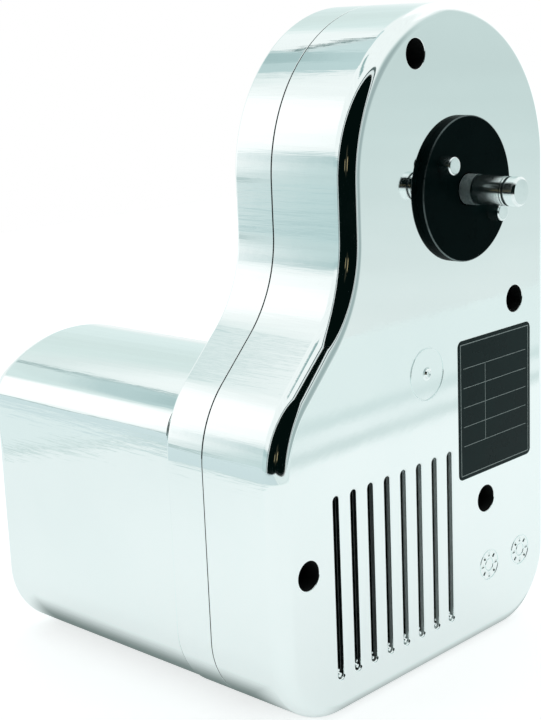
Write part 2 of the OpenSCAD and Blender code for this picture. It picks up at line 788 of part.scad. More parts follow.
module output_bush_rear() color("#b08a4a") {
    ring(output_at, bush_r, bearing_r + running_gap, cavity_y - bush_boss_h - bush_flange, back_y - 0.8);
    ring(output_at, bush_r + 1.6, bearing_r + running_gap, cavity_y - bush_boss_h - bush_flange,
        cavity_y - bush_boss_h);
}

module output_gear() color("#d8d2c0") {
    hub_end = cavity_y - bush_boss_h - bush_flange - 0.4;
    difference() {
        union() {
            spur(output_at, module_3, output_gear_teeth, gap_at(stage_3_angle, output_gear_teeth),
                gear_3_y, gear_3_y + output_face_w);
            rod(output_at, bearing_r + hub_wall, gear_3_y, hub_end);
        }
        rod(output_at, bearing_r, gear_3_y - eps, hub_end + eps);
        ring(output_at, module_3 * output_gear_teeth / 2 - rim_w, bearing_r + hub_wall, gear_3_y - eps,
            gear_3_y + wheel_hollow);
    }
}

module second_axle() color("#a9aeb2") rod(second_at, second_axle_r, face_y + 1, cavity_y);

module second_gear() color("#e6e2d6") {
    y0 = gear_3_y - pinion_overhang;
    y1 = gear_2_y + second_face_w;
    difference() {
        union() {
            spur(second_at, module_3, second_pinion_teeth, stage_3_angle + 180, y0, gear_2_y + eps);
            spur(second_at, module_2, second_wheel_teeth, gap_at(stage_2_angle, second_wheel_teeth), gear_2_y, y1);
        }
        rod(second_at, second_axle_r + running_gap, y0 - eps, y1 + eps);
        ring(second_at, module_2 * second_wheel_teeth / 2 - rim_w, second_axle_r + hub_wall, y1 - wheel_hollow,
            y1 + eps);
    }
}

module first_axle() color("#a9aeb2") rod(first_at, first_axle_r, face_y + 1, cavity_y);

module first_gear() color("#e6e2d6") {
    y0 = gear_2_y - pinion_overhang;
    difference() {
        union() {
            spur(first_at, module_2, first_pinion_teeth, stage_2_angle + 180, y0, gear_1_y + eps);
            spur(first_at, module_1, first_wheel_teeth, gap_at(stage_1_angle, first_wheel_teeth),
                gear_1_y, gear_1_end);
        }
        rod(first_at, first_axle_r + running_gap, y0 - eps, gear_1_end + eps);
        ring(first_at, module_1 * first_wheel_teeth / 2 - rim_w, first_axle_r + hub_wall,
            gear_1_end - wheel_hollow, gear_1_end + eps);
    }
}

// ---------- motor ----------

pinion_y = gear_1_y - pinion_overhang;
pinion_end = gear_1_end + pinion_overhang;

module motor_pinion() color("#c8a24a") {
    difference() {
        spur(motor_at, module_1, motor_pinion_teeth, stage_1_angle + 180, pinion_y, pinion_end);
        rod(motor_at, armature_shaft_r, pinion_y - eps, pinion_end + eps);
    }
}

module armature_shaft() color("#b4b8bb") rod(motor_at, armature_shaft_r, pinion_y - 0.5, armature_end);

armature_slots = 10;
module armature_core() color("#6f7478") {
    difference() {
        rod(motor_at, armature_r, stator_y, stator_end);
        rod(motor_at, armature_shaft_r, stator_y - eps, stator_end + eps);
        for (i = [0:armature_slots - 1]) {
            at = motor_at + polar(armature_r - 3.6, 360 * i / armature_slots);
            rod(at, 2.2, stator_y - eps, stator_end + eps);
            slab(stator_y - eps, stator_end + eps) translate(motor_at) rotate(360 * i / armature_slots)
                translate([armature_r - 3, -0.8]) square([4, 1.6]);
        }
    }
}

module armature_winding() color("#a5562c") {
    for (span = [[stator_y - coil_overhang, stator_y], [stator_end, stator_end + coil_overhang]]) {
        ring(motor_at, armature_r - 1.5, armature_shaft_r, span[0], span[1]);
    }
    for (i = [0:armature_slots - 1]) {
        at = motor_at + polar(armature_r - 3.6, 360 * i / armature_slots);
        rod(at, 2, stator_y - eps, stator_end + eps);
    }
}

module commutator() color("#b87a45") {
    bars = 20;
    difference() {
        ring(motor_at, commutator_r, armature_shaft_r, commutator_y, commutator_y + commutator_l);
        for (i = [0:bars - 1]) {
            translate([motor_at[0], commutator_y + commutator_l / 2, motor_at[1]]) rotate([0, 360 * i / bars, 0])
                translate([commutator_r, 0, 0]) cube([0.8, commutator_l + 1, 0.4], center = true);
        }
    }
}

module cooling_fan() color("#3a3f42") {
    hub = armature_shaft_r + 3;
    difference() {
        union() {
            rod(motor_at, hub, fan_y, fan_y + fan_t);
            rod(motor_at, fan_r, fan_y + fan_t - 1.5, fan_y + fan_t);
            for (i = [0:fan_blades - 1]) {
                translate([motor_at[0], fan_y + fan_t / 2, motor_at[1]]) rotate([0, 360 * i / fan_blades, 0])
                    translate([(hub + fan_r) / 2 - 0.6, 0, 0]) cube([fan_r - hub, fan_t - 1, 1.4], center = true);
            }
        }
        rod(motor_at, armature_shaft_r, fan_y - eps, fan_y + fan_t + eps);
    }
}

module motor_bearing(y0) ring(motor_at, motor_bearing_r, armature_shaft_r + running_gap, y0, y0 + motor_bearing_l);
module motor_bearing_front() color("#b08a4a") motor_bearing(back_y);
module motor_bearing_rear() color("#b08a4a") motor_bearing(rear_bracket_y);

bracket_wall = 1.6;

// A bar across the motor with a seat for its bearing and a pillar round each long bolt
module bracket_bar(y0, y1) {
    pillar_r = motor_bolt_r + 1.5;
    bar_w = 2 * pillar_r - 1;
    diagonal = 2 * norm([bolt_x, bolt_z]);
    tilt = atan2(bolt_z, bolt_x);
    difference() {
        union() {
            slab(y0, y0 + bracket_t) translate(motor_at) {
                for (angle = [-tilt, tilt]) rotate(angle) square([diagonal, bar_w], center = true);
                square([2 * (holder_start + 6), bar_w], center = true);
            }
            rod(motor_at, motor_bearing_r + bracket_wall, y0, y0 + motor_bearing_l);
            for (at = bolts_at) rod(at, pillar_r, min(y0, y1), max(y0 + bracket_t, y1));
        }
        rod(motor_at, motor_bearing_r, y0 - eps, y0 + motor_bearing_l + eps);
        for (at = bolts_at) rod(at, motor_bolt_r, min(y0, y1) - 1, max(y0 + bracket_t, y1) + 1);
    }
}

module front_bracket() color("#9aa0a4") bracket_bar(back_y, stator_y);
module rear_bracket() color("#9aa0a4") bracket_bar(rear_bracket_y, stator_end);

// The window beside a pole that one side of a field coil fills
module coil_windows(gap) {
    for (pole = [90, 270], side = [-1, 1]) {
        from = pole + side * pole_half_angle;
        to = pole + side * coil_half_angle;
        gap_angle = side * atan(gap / stator_bore_r);
        sector(stator_bore_r - eps, stator_bore_r + coil_t + gap, from - gap_angle, to);
    }
}

module stator_core() color("#62676b") {
    slab(stator_y, stator_end) difference() {
        translate(motor_at - [stator_w / 2, stator_h / 2]) rounded_plate(stator_w, stator_h, 6);
        translate(motor_at) circle(stator_bore_r);
        translate(motor_at) coil_windows(coil_gap);
        for (at = bolts_at) translate(at) circle(motor_bolt_r);
    }
}

module field_coils() color("#a85f30") {
    r0 = stator_bore_r + coil_gap;
    r1 = stator_bore_r + coil_t;
    for (pole = [90, 270]) {
        difference() {
            slab(stator_y - coil_overhang, stator_end + coil_overhang) translate(motor_at)
                sector(r0, r1, pole - coil_half_angle, pole + coil_half_angle);
            slab(stator_y - coil_gap, stator_end + coil_gap) translate(motor_at)
                sector(r0 - 1, r1 + 1, pole - pole_half_angle, pole + pole_half_angle);
        }
    }
}

module motor_bolts() color("#8d9296") {
    for (at = bolts_at) {
        rod(at, motor_bolt_r, cavity_y - 1.2, rear_bracket_y + bracket_t + eps);
        rod(at, motor_bolt_r + 1.2, rear_bracket_y + bracket_t, rear_bracket_y + bracket_t + 1.8);
        rod(at, motor_bolt_r + 1.2, cavity_y - 1.8, cavity_y);
    }
}

// Brush gear, left and right of the commutator
holder_half = brush_w / 2 + brush_wall;
holder_start = commutator_r + 1.5;
module each_side() {
    for (turn = [0, 180]) translate([motor_at[0], brush_y, motor_at[1]]) rotate([0, turn, 0]) children();
}

module brush_holders() color("#4b3a2c") {
    each_side() difference() {
        union() {
            translate([holder_start, -holder_half, -holder_half]) cube([holder_l, 2 * holder_half, 2 * holder_half]);
            translate([holder_start + 2, holder_half - eps, -holder_half])
                cube([4, rear_bracket_y - brush_y - holder_half + eps, 2 * holder_half]);
        }
        translate([holder_start - 1, -brush_w / 2, -brush_w / 2]) cube([holder_l, brush_w, brush_w]);
    }
}

brush_start = commutator_r - 0.5;
module carbon_brushes() color("#2c2d2f") {
    each_side() difference() {
        translate([brush_start, -brush_w / 2, -brush_w / 2]) cube([brush_l, brush_w, brush_w]);
        rotate([90, 0, 0]) cylinder(r = commutator_r + running_gap, h = 3 * brush_w, center = true);
    }
}

// A helical spring along X from x0 to x1
spring_turns = 5;
spring_wire_r = 0.25;
module spring(x0, x1, coil_r) {
    sides = 6;
    steps = spring_turns * 12;
    points = [
        for (i = [0:steps], k = [0:sides - 1])
            let (a = i * 30, r = coil_r + spring_wire_r * cos(360 * k / sides))
                [x0 + (x1 - x0) * i / steps + spring_wire_r * sin(360 * k / sides), r * cos(a), r * sin(a)]
    ];
    walls = [
        for (i = [0:steps - 1], k = [0:sides - 1])
            let (a = i * sides + k, b = i * sides + (k + 1) % sides)
                each [[a, b, b + sides], [a, b + sides, a + sides]]
    ];
    start = [[for (k = [sides - 1:-1:0]) k]];
    end = [[for (k = [0:sides - 1]) steps * sides + k]];
    polyhedron(points = points, faces = concat(start, walls, end));
}

module brush_springs() color("#9a9fa3") {
    x0 = brush_start + brush_l + spring_wire_r;
    x1 = holder_start + holder_l - 1 - spring_wire_r;
    each_side() spring(x0, x1, brush_w / 2 - 2 * spring_wire_r);
}

// ---------- switch, inlet and wiring ----------

module switch_body() color("#1d1f21") {
    y_in = cover_in_y - switch_depth + wall;
    difference() {
        union() {
            slab(y_in, cover_y) translate(switch_at) square([switch_w, switch_h], center = true);
            slab(cover_y, cover_y + flange_t) translate(switch_at)
                square([switch_w + 2 * flange_rim, switch_h + 2 * flange_rim], center = true);
        }
        slab(pivot_y - hub_r - 2, cover_y + flange_t + eps) translate(switch_at)
            square([opening_w, opening_h], center = true);
        translate([switch_at[0], pivot_y, switch_at[1]]) rotate([0, 90, 0])
            cylinder(r = pivot_r + running_gap, h = switch_w - 0.6, center = true);
    }
}

module switch_rocker() color("#2a2c2f") {
    translate([switch_at[0], pivot_y, switch_at[1]]) rotate([-rocker_tilt, 0, 0]) {
        rotate([0, 90, 0]) cylinder(r = hub_r, h = rocker_w, center = true);
        rotate([0, 90, 0]) cylinder(r = pivot_r, h = switch_w - 0.9, center = true);
        translate([-rocker_w / 2, 0, -hub_r * 0.8]) cube([rocker_w, rocker_rise + eps, hub_r * 1.6]);
        translate([-rocker_w / 2, rocker_rise, -rocker_h / 2]) cube([rocker_w, rocker_t, rocker_h]);
    }
}

module power_inlet() color("#1d1f21") {
    difference() {
        union() {
            slab(inlet_end_y, cover_y) translate(inlet_at) rotate(90) slot(inlet_h, inlet_w);
            slab(cover_y, cover_y + flange_t) translate(inlet_at) rotate(90)
                slot(inlet_h + 2 * flange_rim, inlet_w + 2 * flange_rim);
        }
        slab(inlet_end_y + moulding_wall, cover_y + flange_t + eps) translate(inlet_at) rotate(90)
            slot(socket_h, socket_w);
        for (s = [-1, 1]) rod(inlet_at + [s * pin_pitch / 2, 0], inlet_pin_r, inlet_end_y - eps, cover_y);
    }
}

module inlet_pins() color("#c9ccce") {
    for (s = [-1, 1]) {
        at = inlet_at + [s * pin_pitch / 2, 0];
        rod(at, inlet_pin_r, inlet_end_y - 3, cover_y - 2);
    }
}

fuse_at = motor_at + [0, -15.2];
fuse_r = 2.6;
fuse_l = 20;
fuse_y = cover_in_y - 2 * fuse_r - 0.2;
holder_end = 4;
module fuse_holder() color("#2b3a3a") {
    width = fuse_l + 2 * holder_end;
    height = 2 * fuse_r + moulding_wall;
    front_y = fuse_y - fuse_r;
    difference() {
        translate([fuse_at[0] - width / 2, front_y, fuse_at[1] - height / 2])
            cube([width, cover_in_y - front_y, height]);
        translate([fuse_at[0] - fuse_l / 2, front_y - 1, fuse_at[1] - height])
            cube([fuse_l, 2 * fuse_r + 1, 2 * height]);
    }
}

module fuse() color("#d9dcdd") {
    translate([fuse_at[0], fuse_y, fuse_at[1]]) rotate([0, 90, 0]) cylinder(r = fuse_r, h = fuse_l, center = true);
}

// An insulated lead along straight stretches with round joints
lead_r = 0.8;
module lead(points) {
    for (i = [0:len(points) - 2]) {
        step = points[i + 1] - points[i];
        translate(points[i]) rotate([0, acos(step[2] / norm(step)), atan2(step[1], step[0])])
            cylinder(r = lead_r, h = norm(step), $fn = 10);
        if (i > 0) translate(points[i]) sphere(lead_r, $fn = 10);
    }
}

// Two leads from the switch body to the brush holders
module switch_leads() color("#6b3b2a") {
    y_in = cover_in_y - switch_depth + wall;
    for (side = [-1, 1]) {
        x0 = switch_at[0] + side * 4;
        x1 = motor_at[0] + side * (holder_start + holder_l - 3);
        lead([
            [x0, y_in, switch_at[1]],
            [x0, y_in - 2, switch_at[1]],
            [x1, brush_y, switch_at[1] - 8],
            [x1, brush_y, motor_at[1] + holder_half]
        ]);
    }
}

front_cover();
rear_housing();
motor_cover();
locking_disc();
locking_studs();
label_plate();
casing_screws();
cover_screws();
output_bush_front();
output_bush_rear();
output_shaft();
output_gear();
retaining_ring();
second_axle();
second_gear();
first_axle();
first_gear();
motor_pinion();
armature_shaft();
armature_core();
armature_winding();
commutator();
cooling_fan();
motor_bearing_front();
motor_bearing_rear();
front_bracket();
rear_bracket();
stator_core();
field_coils();
motor_bolts();
brush_holders();
carbon_brushes();
brush_springs();
switch_body();
switch_rocker();
power_inlet();
inlet_pins();
fuse_holder();
fuse();
switch_leads();
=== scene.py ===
"""Electric drive unit for a pasta machine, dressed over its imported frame.

Sizes are millimetres in the fields of the classes and metres in the meshes. The origin is the
output shaft's axis on the locking disc's outer face, X runs to the right, Y into the casing
and Z up. Every new surface is an outline carried along a path, a turned path, or a flat sheet
with holes, computed with numpy.
"""

import logging
import math
from dataclasses import dataclass
from enum import Enum
from typing import Optional, Sequence

import bpy
import numpy as np
from mathutils import Matrix
from mathutils.geometry import delaunay_2d_cdt


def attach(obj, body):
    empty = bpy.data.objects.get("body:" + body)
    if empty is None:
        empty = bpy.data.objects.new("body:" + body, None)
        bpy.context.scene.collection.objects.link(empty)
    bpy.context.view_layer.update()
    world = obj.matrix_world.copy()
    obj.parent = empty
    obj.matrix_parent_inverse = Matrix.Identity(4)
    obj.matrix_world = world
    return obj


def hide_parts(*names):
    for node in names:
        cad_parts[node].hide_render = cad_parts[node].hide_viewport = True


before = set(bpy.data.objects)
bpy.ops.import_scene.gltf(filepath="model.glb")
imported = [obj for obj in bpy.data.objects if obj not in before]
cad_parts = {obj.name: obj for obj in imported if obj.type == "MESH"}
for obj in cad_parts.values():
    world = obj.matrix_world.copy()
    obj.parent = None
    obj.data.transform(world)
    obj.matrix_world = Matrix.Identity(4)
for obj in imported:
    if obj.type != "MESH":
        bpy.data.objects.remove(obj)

LOG = logging.getLogger("drive_unit")
MM = 0.001
Array = np.ndarray
Socket = bpy.types.NodeSocket
Colour = tuple[float, float, float]
Point2 = tuple[float, float]
Point3 = tuple[float, float, float]
Arc = tuple[float, float, float, float, float, int]

# Planes and places that several pieces share.
WALL = 2.5
FACE_Y = 2.15
BACK_Y = 43.15
REAR_Y = 122.75
STUD_SHANK_R = 1.6
MOTOR_AT: Point2 = (-45.607, -89.405)
SWITCH_AT: Point2 = (MOTOR_AT[0], -64.405)
INLET_AT: Point2 = (MOTOR_AT[0], -118.405)
LABEL_AT: Point2 = (15.15, -63.3)
LABEL_SIZE: Point2 = (35.9, 40.8)
LABEL_R = 1.8
OUTLET_PITCH = 7.01


# ---------------------------------------------------------------- outlines and paths


@dataclass
class Loop:
    """A closed outline in a plane, anticlockwise: points and outward unit normals, both (n, 2)."""

    points: Array
    normals: Array

    def out(self, distance: float) -> "Loop":
        """The outline moved out along its own normals: point + distance x normal."""
        return Loop(self.points + distance * self.normals, self.normals)


def arcs_loop(arcs: Sequence[Arc]) -> Loop:
    """Joins arcs by the straight lines between their ends.

    A point of an arc is centre + |radius| (cos a, sin a), and its normal is (cos a, sin a),
    reversed where the radius is negative, which makes a hollow arc.

    Args:
        arcs: each (centre across, centre up, radius, from degrees, to degrees, steps).

    Returns:
        The outline, without repeated points.
    """
    points, normals = [], []
    for cx, cz, radius, start, end, steps in arcs:
        angle = np.radians(np.linspace(start, end, steps + 1))
        ray = np.stack([np.cos(angle), np.sin(angle)], 1)
        points.append(np.array([cx, cz]) + abs(radius) * ray)
        normals.append(math.copysign(1.0, radius) * ray)
    p, n = np.concatenate(points), np.concatenate(normals)
    keep = np.linalg.norm(p - np.roll(p, 1, axis=0), axis=1) > 1e-6
    return Loop(p[keep], n[keep])


def turned(at: Point2 = (0.0, 0.0), steps: int = 72) -> Loop:
    """A circle of no radius, for turned paths whose offsets are radii.

    Args:
        at: its middle.
        steps: number of its points.

    Returns:
        The outline.
    """
    angle = 2 * math.pi * np.arange(steps) / steps
    ray = np.stack([np.cos(angle), np.sin(angle)], 1)
    return Loop(np.tile(np.array(at, float), (steps, 1)), ray)


def rounded_rectangle(at: Point2, size: Point2, radius: float, steps: int = 3) -> Loop:
    """A rectangle about its middle with round corners, as four arcs of 90 degrees.

    Args:
        at: its middle.
        size: its width and height.
        radius: of the corners.
        steps: number of faces of each corner.

    Returns:
        The outline.
    """
    x, z = size[0] / 2 - radius, size[1] / 2 - radius
    return arcs_loop([
        (at[0] + x, at[1] + z, radius, 0, 90, steps),
        (at[0] - x, at[1] + z, radius, 90, 180, steps),
        (at[0] - x, at[1] - z, radius, 180, 270, steps),
        (at[0] + x, at[1] - z, radius, 270, 360, steps),
    ])


def round_slot(at: Point2, width: float, length: float, upright: bool, steps: int) -> Loop:
    """A slot with round ends, as two arcs of 180 degrees about the ends of its middle line.

    Args:
        at: its middle.
        width: across the slot.
        length: over both round ends.
        upright: whether its long side stands up.
        steps: number of faces of each end.

    Returns:
        The outline.
    """
    reach, lean = (length - width) / 2, 90 if upright else 0
    x, z = (0.0, reach) if upright else (reach, 0.0)
    return arcs_loop([
        (at[0] + x, at[1] + z, width / 2, lean - 90, lean + 90, steps),
        (at[0] - x, at[1] - z, width / 2, lean + 90, lean + 270, steps),
    ])


@dataclass
class Path:
    """What an outline is carried along: offsets out and depths with their normals, each (m, 2)."""

    points: Array
    normals: Array


def rounded_path(corners: Sequence[Point3], side: int = 1, steps: int = 5) -> Path:
    """A line of straight legs whose corners are rounded by arcs that touch both legs.

    The arc of radius r at a corner starts and ends r tan(turn / 2) away from it. The normal of
    a leg is its direction turned by a quarter, to the side that is given.

    Args:
        corners: each (offset, depth, radius).
        side: 1 for normals to the right of the way the line runs, -1 for the left.
        steps: least number of faces of each arc, which has at least one for 15 degrees.

    Returns:
        The path, with doubled points where a corner is sharp.
    """
    c = np.array(corners, float)
    legs = np.diff(c[:, :2], axis=0)
    legs /= np.maximum(np.linalg.norm(legs, axis=1), 1e-12)[:, None]
    right = side * np.stack([legs[:, 1], -legs[:, 0]], 1)
    points, normals = [c[:1, :2]], [right[:1]]
    for i in range(1, len(c) - 1):
        before, after = legs[i - 1], legs[i]
        turn = math.atan2(before[0] * after[1] - before[1] * after[0], float(before @ after))
        radius = c[i, 2]
        if radius <= 0 or abs(turn) < 1e-6:
            points.append(np.stack([c[i, :2], c[i, :2]]))
            normals.append(np.stack([right[i - 1], right[i]]))
            continue
        part = np.linspace(0, turn, max(steps, int(abs(math.degrees(turn)) / 15)) + 1)
        start = c[i, :2] - before * radius * math.tan(abs(turn) / 2)
        cos, sin = np.cos(part), np.sin(part)
        spin = np.stack([np.stack([cos, -sin], 1), np.stack([sin, cos], 1)], 1)
        ray = spin @ right[i - 1]
        sign = math.copysign(1.0, turn) * side
        points.append(start - sign * radius * right[i - 1] + sign * radius * ray)
        normals.append(ray)
    points.append(c[-1:, :2])
    normals.append(right[-1:])
    return Path(np.concatenate(points), np.concatenate(normals))


@dataclass(frozen=True)
class Plane:
    """A place to draw in: a point and three unit directions, across, up and in."""

    origin: Point3 = (0, 0, 0)
    across: Point3 = (1, 0, 0)
    up: Point3 = (0, 0, 1)
    into: Point3 = (0, 1, 0)

    def place(self, flat: Array, depth: Array) -> Array:
        """Point = origin + across x first + up x second + into x depth."""
        return np.array(self.origin) + self.turn(flat, depth)

    def turn(self, flat: Array, depth: Array) -> Array:
        """A direction in the same three unit directions."""
        return (flat[..., :1] * np.array(self.across) + flat[..., 1:2] * np.array(self.up)
                + np.asarray(depth)[..., None] * np.array(self.into))


FRONTAL = Plane()


# ---------------------------------------------------------------- meshes


class Skin:
    """Faces with exact corner normals, welded at the end into one closed mesh."""

    WELD_STEPS = 1e4  # corners are equal where they round to the same step of a millimetre
    EDGES_AT_ONCE = 400  # edges that the inside test takes in one array

    def __init__(self) -> None:
        """Starts with no faces."""
        self.corners: list[Array] = []
        self.normals: list[Array] = []
        self.finishes: list[Array] = []

    def faces(self, corners: Array, normals: Array, finish: int) -> None:
        """Adds faces, each turned so that it looks along its own normals.

        Args:
            corners: (faces, 3 or 4, 3) in millimetres.
            normals: the same shape.
            finish: index of the material.
        """
        across = corners[:, 2] - corners[:, 0]
        along = corners[:, -1] - corners[:, 1]
        away = (np.cross(across, along) * normals.mean(1)).sum(1) < 0
        corners[away] = corners[away][:, ::-1]
        normals[away] = normals[away][:, ::-1]
        self.corners.append(corners)
        self.normals.append(normals)
        self.finishes.append(np.full(len(corners), finish))

    def sweep(self, loop: Loop, path: Path, plane: Plane = FRONTAL, finish: int = 0,
              gap: Optional[tuple[int, int]] = None) -> None:
        """Carries an outline along a path.

        Point (u, v) = outline point u + path offset v x outline normal u, at path depth v. Its
        normal is outline normal u x the path normal's offset part + the depth direction x its
        depth part.

        Args:
            loop: the outline.
            path: offsets and depths.
            plane: where the outline is drawn.
            finish: index of the material.
            gap: one step of the outline and one of the path that get no face.
        """
        flat = loop.points[:, None] + path.points[None, :, :1] * loop.normals[:, None]
        depth = np.broadcast_to(path.points[None, :, 1], flat.shape[:2])
        tilt = path.normals[None, :, :1] * loop.normals[:, None]
        lean = np.broadcast_to(path.normals[None, :, 1], flat.shape[:2])
        p, n = plane.place(flat, depth), plane.turn(tilt, lean)
        wide = np.linalg.norm(np.diff(path.points, axis=0), axis=1) > 1e-7
        keep = np.broadcast_to(wide[None], (len(loop.points), len(wide))).copy()
        if gap is not None:
            keep[gap] = False

        def quads(a: Array) -> Array:
            """The four corners of every cell of a grid that closes in its first direction."""
            b = np.roll(a, -1, axis=0)
            return np.stack([a[:, :-1], b[:, :-1], b[:, 1:], a[:, 1:]], 2)[keep]

        self.faces(quads(p), quads(n), finish)

    def run(self, loop: Loop, corners: Sequence[Point3], side: int = 1, steps: int = 5,
            finish: int = 0, plane: Plane = FRONTAL) -> None:
        """Carries an outline along a rounded path.

        Args:
            loop: the outline.
            corners: the path's corners, each (offset, depth, radius).
            side: which way the surface looks, as in rounded_path.
            steps: least number of faces of each rounded corner.
            finish: index of the material.
            plane: where the outline is drawn.
        """
        self.sweep(loop, rounded_path(corners, side, steps), plane, finish)

    def sheet(self, loops: Sequence[Loop], depth: float, look: int, plane: Plane = FRONTAL,
              finish: int = 0) -> None:
        """A flat sheet at one depth, filled where a point lies inside an odd number of outlines.

        Args:
            loops: the outer edge, holes and islands.
            depth: how far in it lies.
            look: -1 to look out along the depth direction reversed, 1 to look along it.
            plane: where it is drawn.
            finish: index of the material.
        """
        flat = np.concatenate([loop.points for loop in loops])
        counts = np.array([len(loop.points) for loop in loops])
        first = np.repeat(np.cumsum(counts) - counts, counts)
        index = np.arange(len(flat))
        following = first + (index - first + 1) % np.repeat(counts, counts)
        edges = np.stack([index, following], 1)
        made = delaunay_2d_cdt(flat.tolist(), edges.tolist(), [], 0, 1e-7)
        found = np.array([tuple(v) for v in made[0]])
        near = np.linalg.norm(found[:, None] - flat[None], axis=2).argmin(1)
        triangles = flat[near][np.array(made[2])]
        middle = triangles.mean(1)
        odd = np.zeros(len(middle), int)
        for part in np.array_split(index, max(1, len(index) // self.EDGES_AT_ONCE)):
            a, b = flat[part][None], flat[following][part][None]
            z = middle[:, None, 1]
            spans = (a[..., 1] > z) != (b[..., 1] > z)
            slope = np.where(spans, b[..., 1] - a[..., 1], 1.0)
            cross = a[..., 0] + (z - a[..., 1]) / slope * (b[..., 0] - a[..., 0])
            odd += (spans & (middle[:, None, 0] < cross)).sum(1)
        triangles = triangles[odd % 2 == 1]
        p = plane.place(triangles, np.full(triangles.shape[:2], depth))
        n = plane.turn(np.zeros((1, 2)), np.array([float(look)]))
        self.faces(p, np.broadcast_to(n, p.shape).copy(), finish)

    def build(self, name: str, materials: Sequence[bpy.types.Material]) -> bpy.types.Object:
        """Welds equal corners, drops faces of no area and makes the object at the origin.

        Args:
            name: name of the object and its mesh.
            materials: the materials that the finishes count.

        Returns:
            The new object.
        """
        sizes = np.concatenate([np.full(len(c), c.shape[1]) for c in self.corners])
        corners = np.concatenate([c.reshape(-1, 3) for c in self.corners])
        normals = np.concatenate([n.reshape(-1, 3) for n in self.normals])
        steps = np.round(corners * self.WELD_STEPS).astype(np.int64)
        _, where, index = np.unique(steps, axis=0, return_index=True, return_inverse=True)
        index = index.reshape(-1)
        starts = np.cumsum(sizes) - sizes
        owner = np.repeat(np.arange(len(sizes)), sizes)
        place = np.arange(len(index)) - starts[owner]
        following = starts[owner] + (place + 1) % sizes[owner]
        keep = index != index[following]
        left = np.bincount(owner[keep], minlength=len(sizes))
        keep &= left[owner] >= 3
        live = left >= 3
        sizes = left[live]
        mesh = bpy.data.meshes.new(name)
        mesh.vertices.add(len(where))
        mesh.vertices.foreach_set("co", (corners[where] * MM).astype(np.float32).ravel())
        mesh.loops.add(int(sizes.sum()))
        mesh.loops.foreach_set("vertex_index", index[keep].astype(np.int32))
        mesh.polygons.add(len(sizes))
        starts = (np.cumsum(sizes) - sizes).astype(np.int32)
        mesh.polygons.foreach_set("loop_start", starts)
        finishes = np.concatenate(self.finishes)[live].astype(np.int32)
        mesh.polygons.foreach_set("material_index", finishes)
        mesh.update(calc_edges=True)
        mesh.polygons.foreach_set("use_smooth", np.ones(len(sizes), bool))
        n = normals[keep]
        n /= np.maximum(np.linalg.norm(n, axis=1), 1e-9)[:, None]
        mesh.normals_split_custom_set(n.tolist())
        for material in materials:
            mesh.materials.append(material)
        piece = bpy.data.objects.new(name, mesh)
        bpy.context.scene.collection.objects.link(piece)
        return piece


# ---------------------------------------------------------------- shared effects


class Wiring:
    """A node tree, with short calls for the nodes that it needs."""

    def __init__(self, tree: bpy.types.NodeTree) -> None:
        """Keeps the tree."""
        self.tree = tree

    def feed(self, socket: Socket, value: object) -> None:
        """Links another socket to an input, or sets a plain value there.

        Args:
            socket: the input.
            value: another node's socket or a plain value.
        """
        if isinstance(value, Socket):
            self.tree.links.new(value, socket)
        else:
            socket.default_value = value

    def node(self, kind: str, values: Optional[dict] = None, **settings: object) -> bpy.types.Node:
        """Adds a node.

        Args:
            kind: the node's type, without its leading "ShaderNode".
            values: input name or number to what feeds it.
            settings: the node's own properties.

        Returns:
            The node.
        """
        node = self.tree.nodes.new("ShaderNode" + kind)
        for label, value in settings.items():
            setattr(node, label, value)
        for label, value in (values or {}).items():
            self.feed(node.inputs[label], value)
        return node

    def math(self, operation: str, *values: object) -> Socket:
        """The output of a Math node."""
        return self.node("Math", dict(enumerate(values)), operation=operation).outputs[0]

    def vector(self, operation: str, *values: object, output: str = "Vector") -> Socket:
        """The named output of a Vector Math node."""
        return self.node("VectorMath", dict(enumerate(values)), operation=operation).outputs[output]

    def scale(self, value: object, factor: object) -> Socket:
        """A vector or colour times a factor."""
        values = {0: value, "Scale": factor}
        return self.node("VectorMath", values, operation="SCALE").outputs[0]

    def ramp(self, value: Socket, low: object, high: object, start: object = 0.0,
             end: object = 1.0, smooth: bool = True) -> Socket:
        """A value carried from one range to another and held at its ends.

        Args:
            value: what is carried.
            low: where the first range starts.
            high: where it ends.
            start: the result at low and below.
            end: the result at high and above.
            smooth: an S curve between, 3 t^2 - 2 t^3, rather than a straight line.

        Returns:
            The result.
        """
        values = {"Value": value, "From Min": low, "From Max": high, "To Min": start, "To Max": end}
        kind = "SMOOTHSTEP" if smooth else "LINEAR"
        return self.node("MapRange", values, interpolation_type=kind).outputs[0]

    def noise(self, place: Socket, scale: object, detail: float, rough: float = 0.5) -> Socket:
        """A noise between 0 and 1 at a place."""
        values = {"Vector": place, "Scale": scale, "Detail": detail, "Roughness": rough}
        return self.node("TexNoise", values).outputs["Fac"]

    def distance(self, x: Socket, y: Socket) -> Socket:
        """Length = sqrt(x^2 + y^2)."""
        squares = self.math("ADD", self.math("MULTIPLY", x, x), self.math("MULTIPLY", y, y))
        return self.math("SQRT", squares)

    def mix(self, share: object, low: object, high: object) -> Socket:
        """Low x (1 - share) + high x share, where each colour is a socket or three numbers.

        Args:
            share: how much of the second colour.
            low: the first colour.
            high: the second colour.

        Returns:
            The mixed colour.
        """
        node = self.node("Mix", data_type="RGBA")
        for label, value in (("Factor", share), ("A", low), ("B", high)):
            socket = next(s for s in node.inputs if s.name == label and s.enabled)
            self.feed(socket, (*value, 1.0) if isinstance(value, tuple) else value)
        return next(s for s in node.outputs if s.enabled)

    def effect(self, group: bpy.types.NodeTree, values: dict) -> bpy.types.bpy_prop_collection:
        """Places a shared effect and gives its outputs."""
        return self.node("Group", values, node_tree=group).outputs


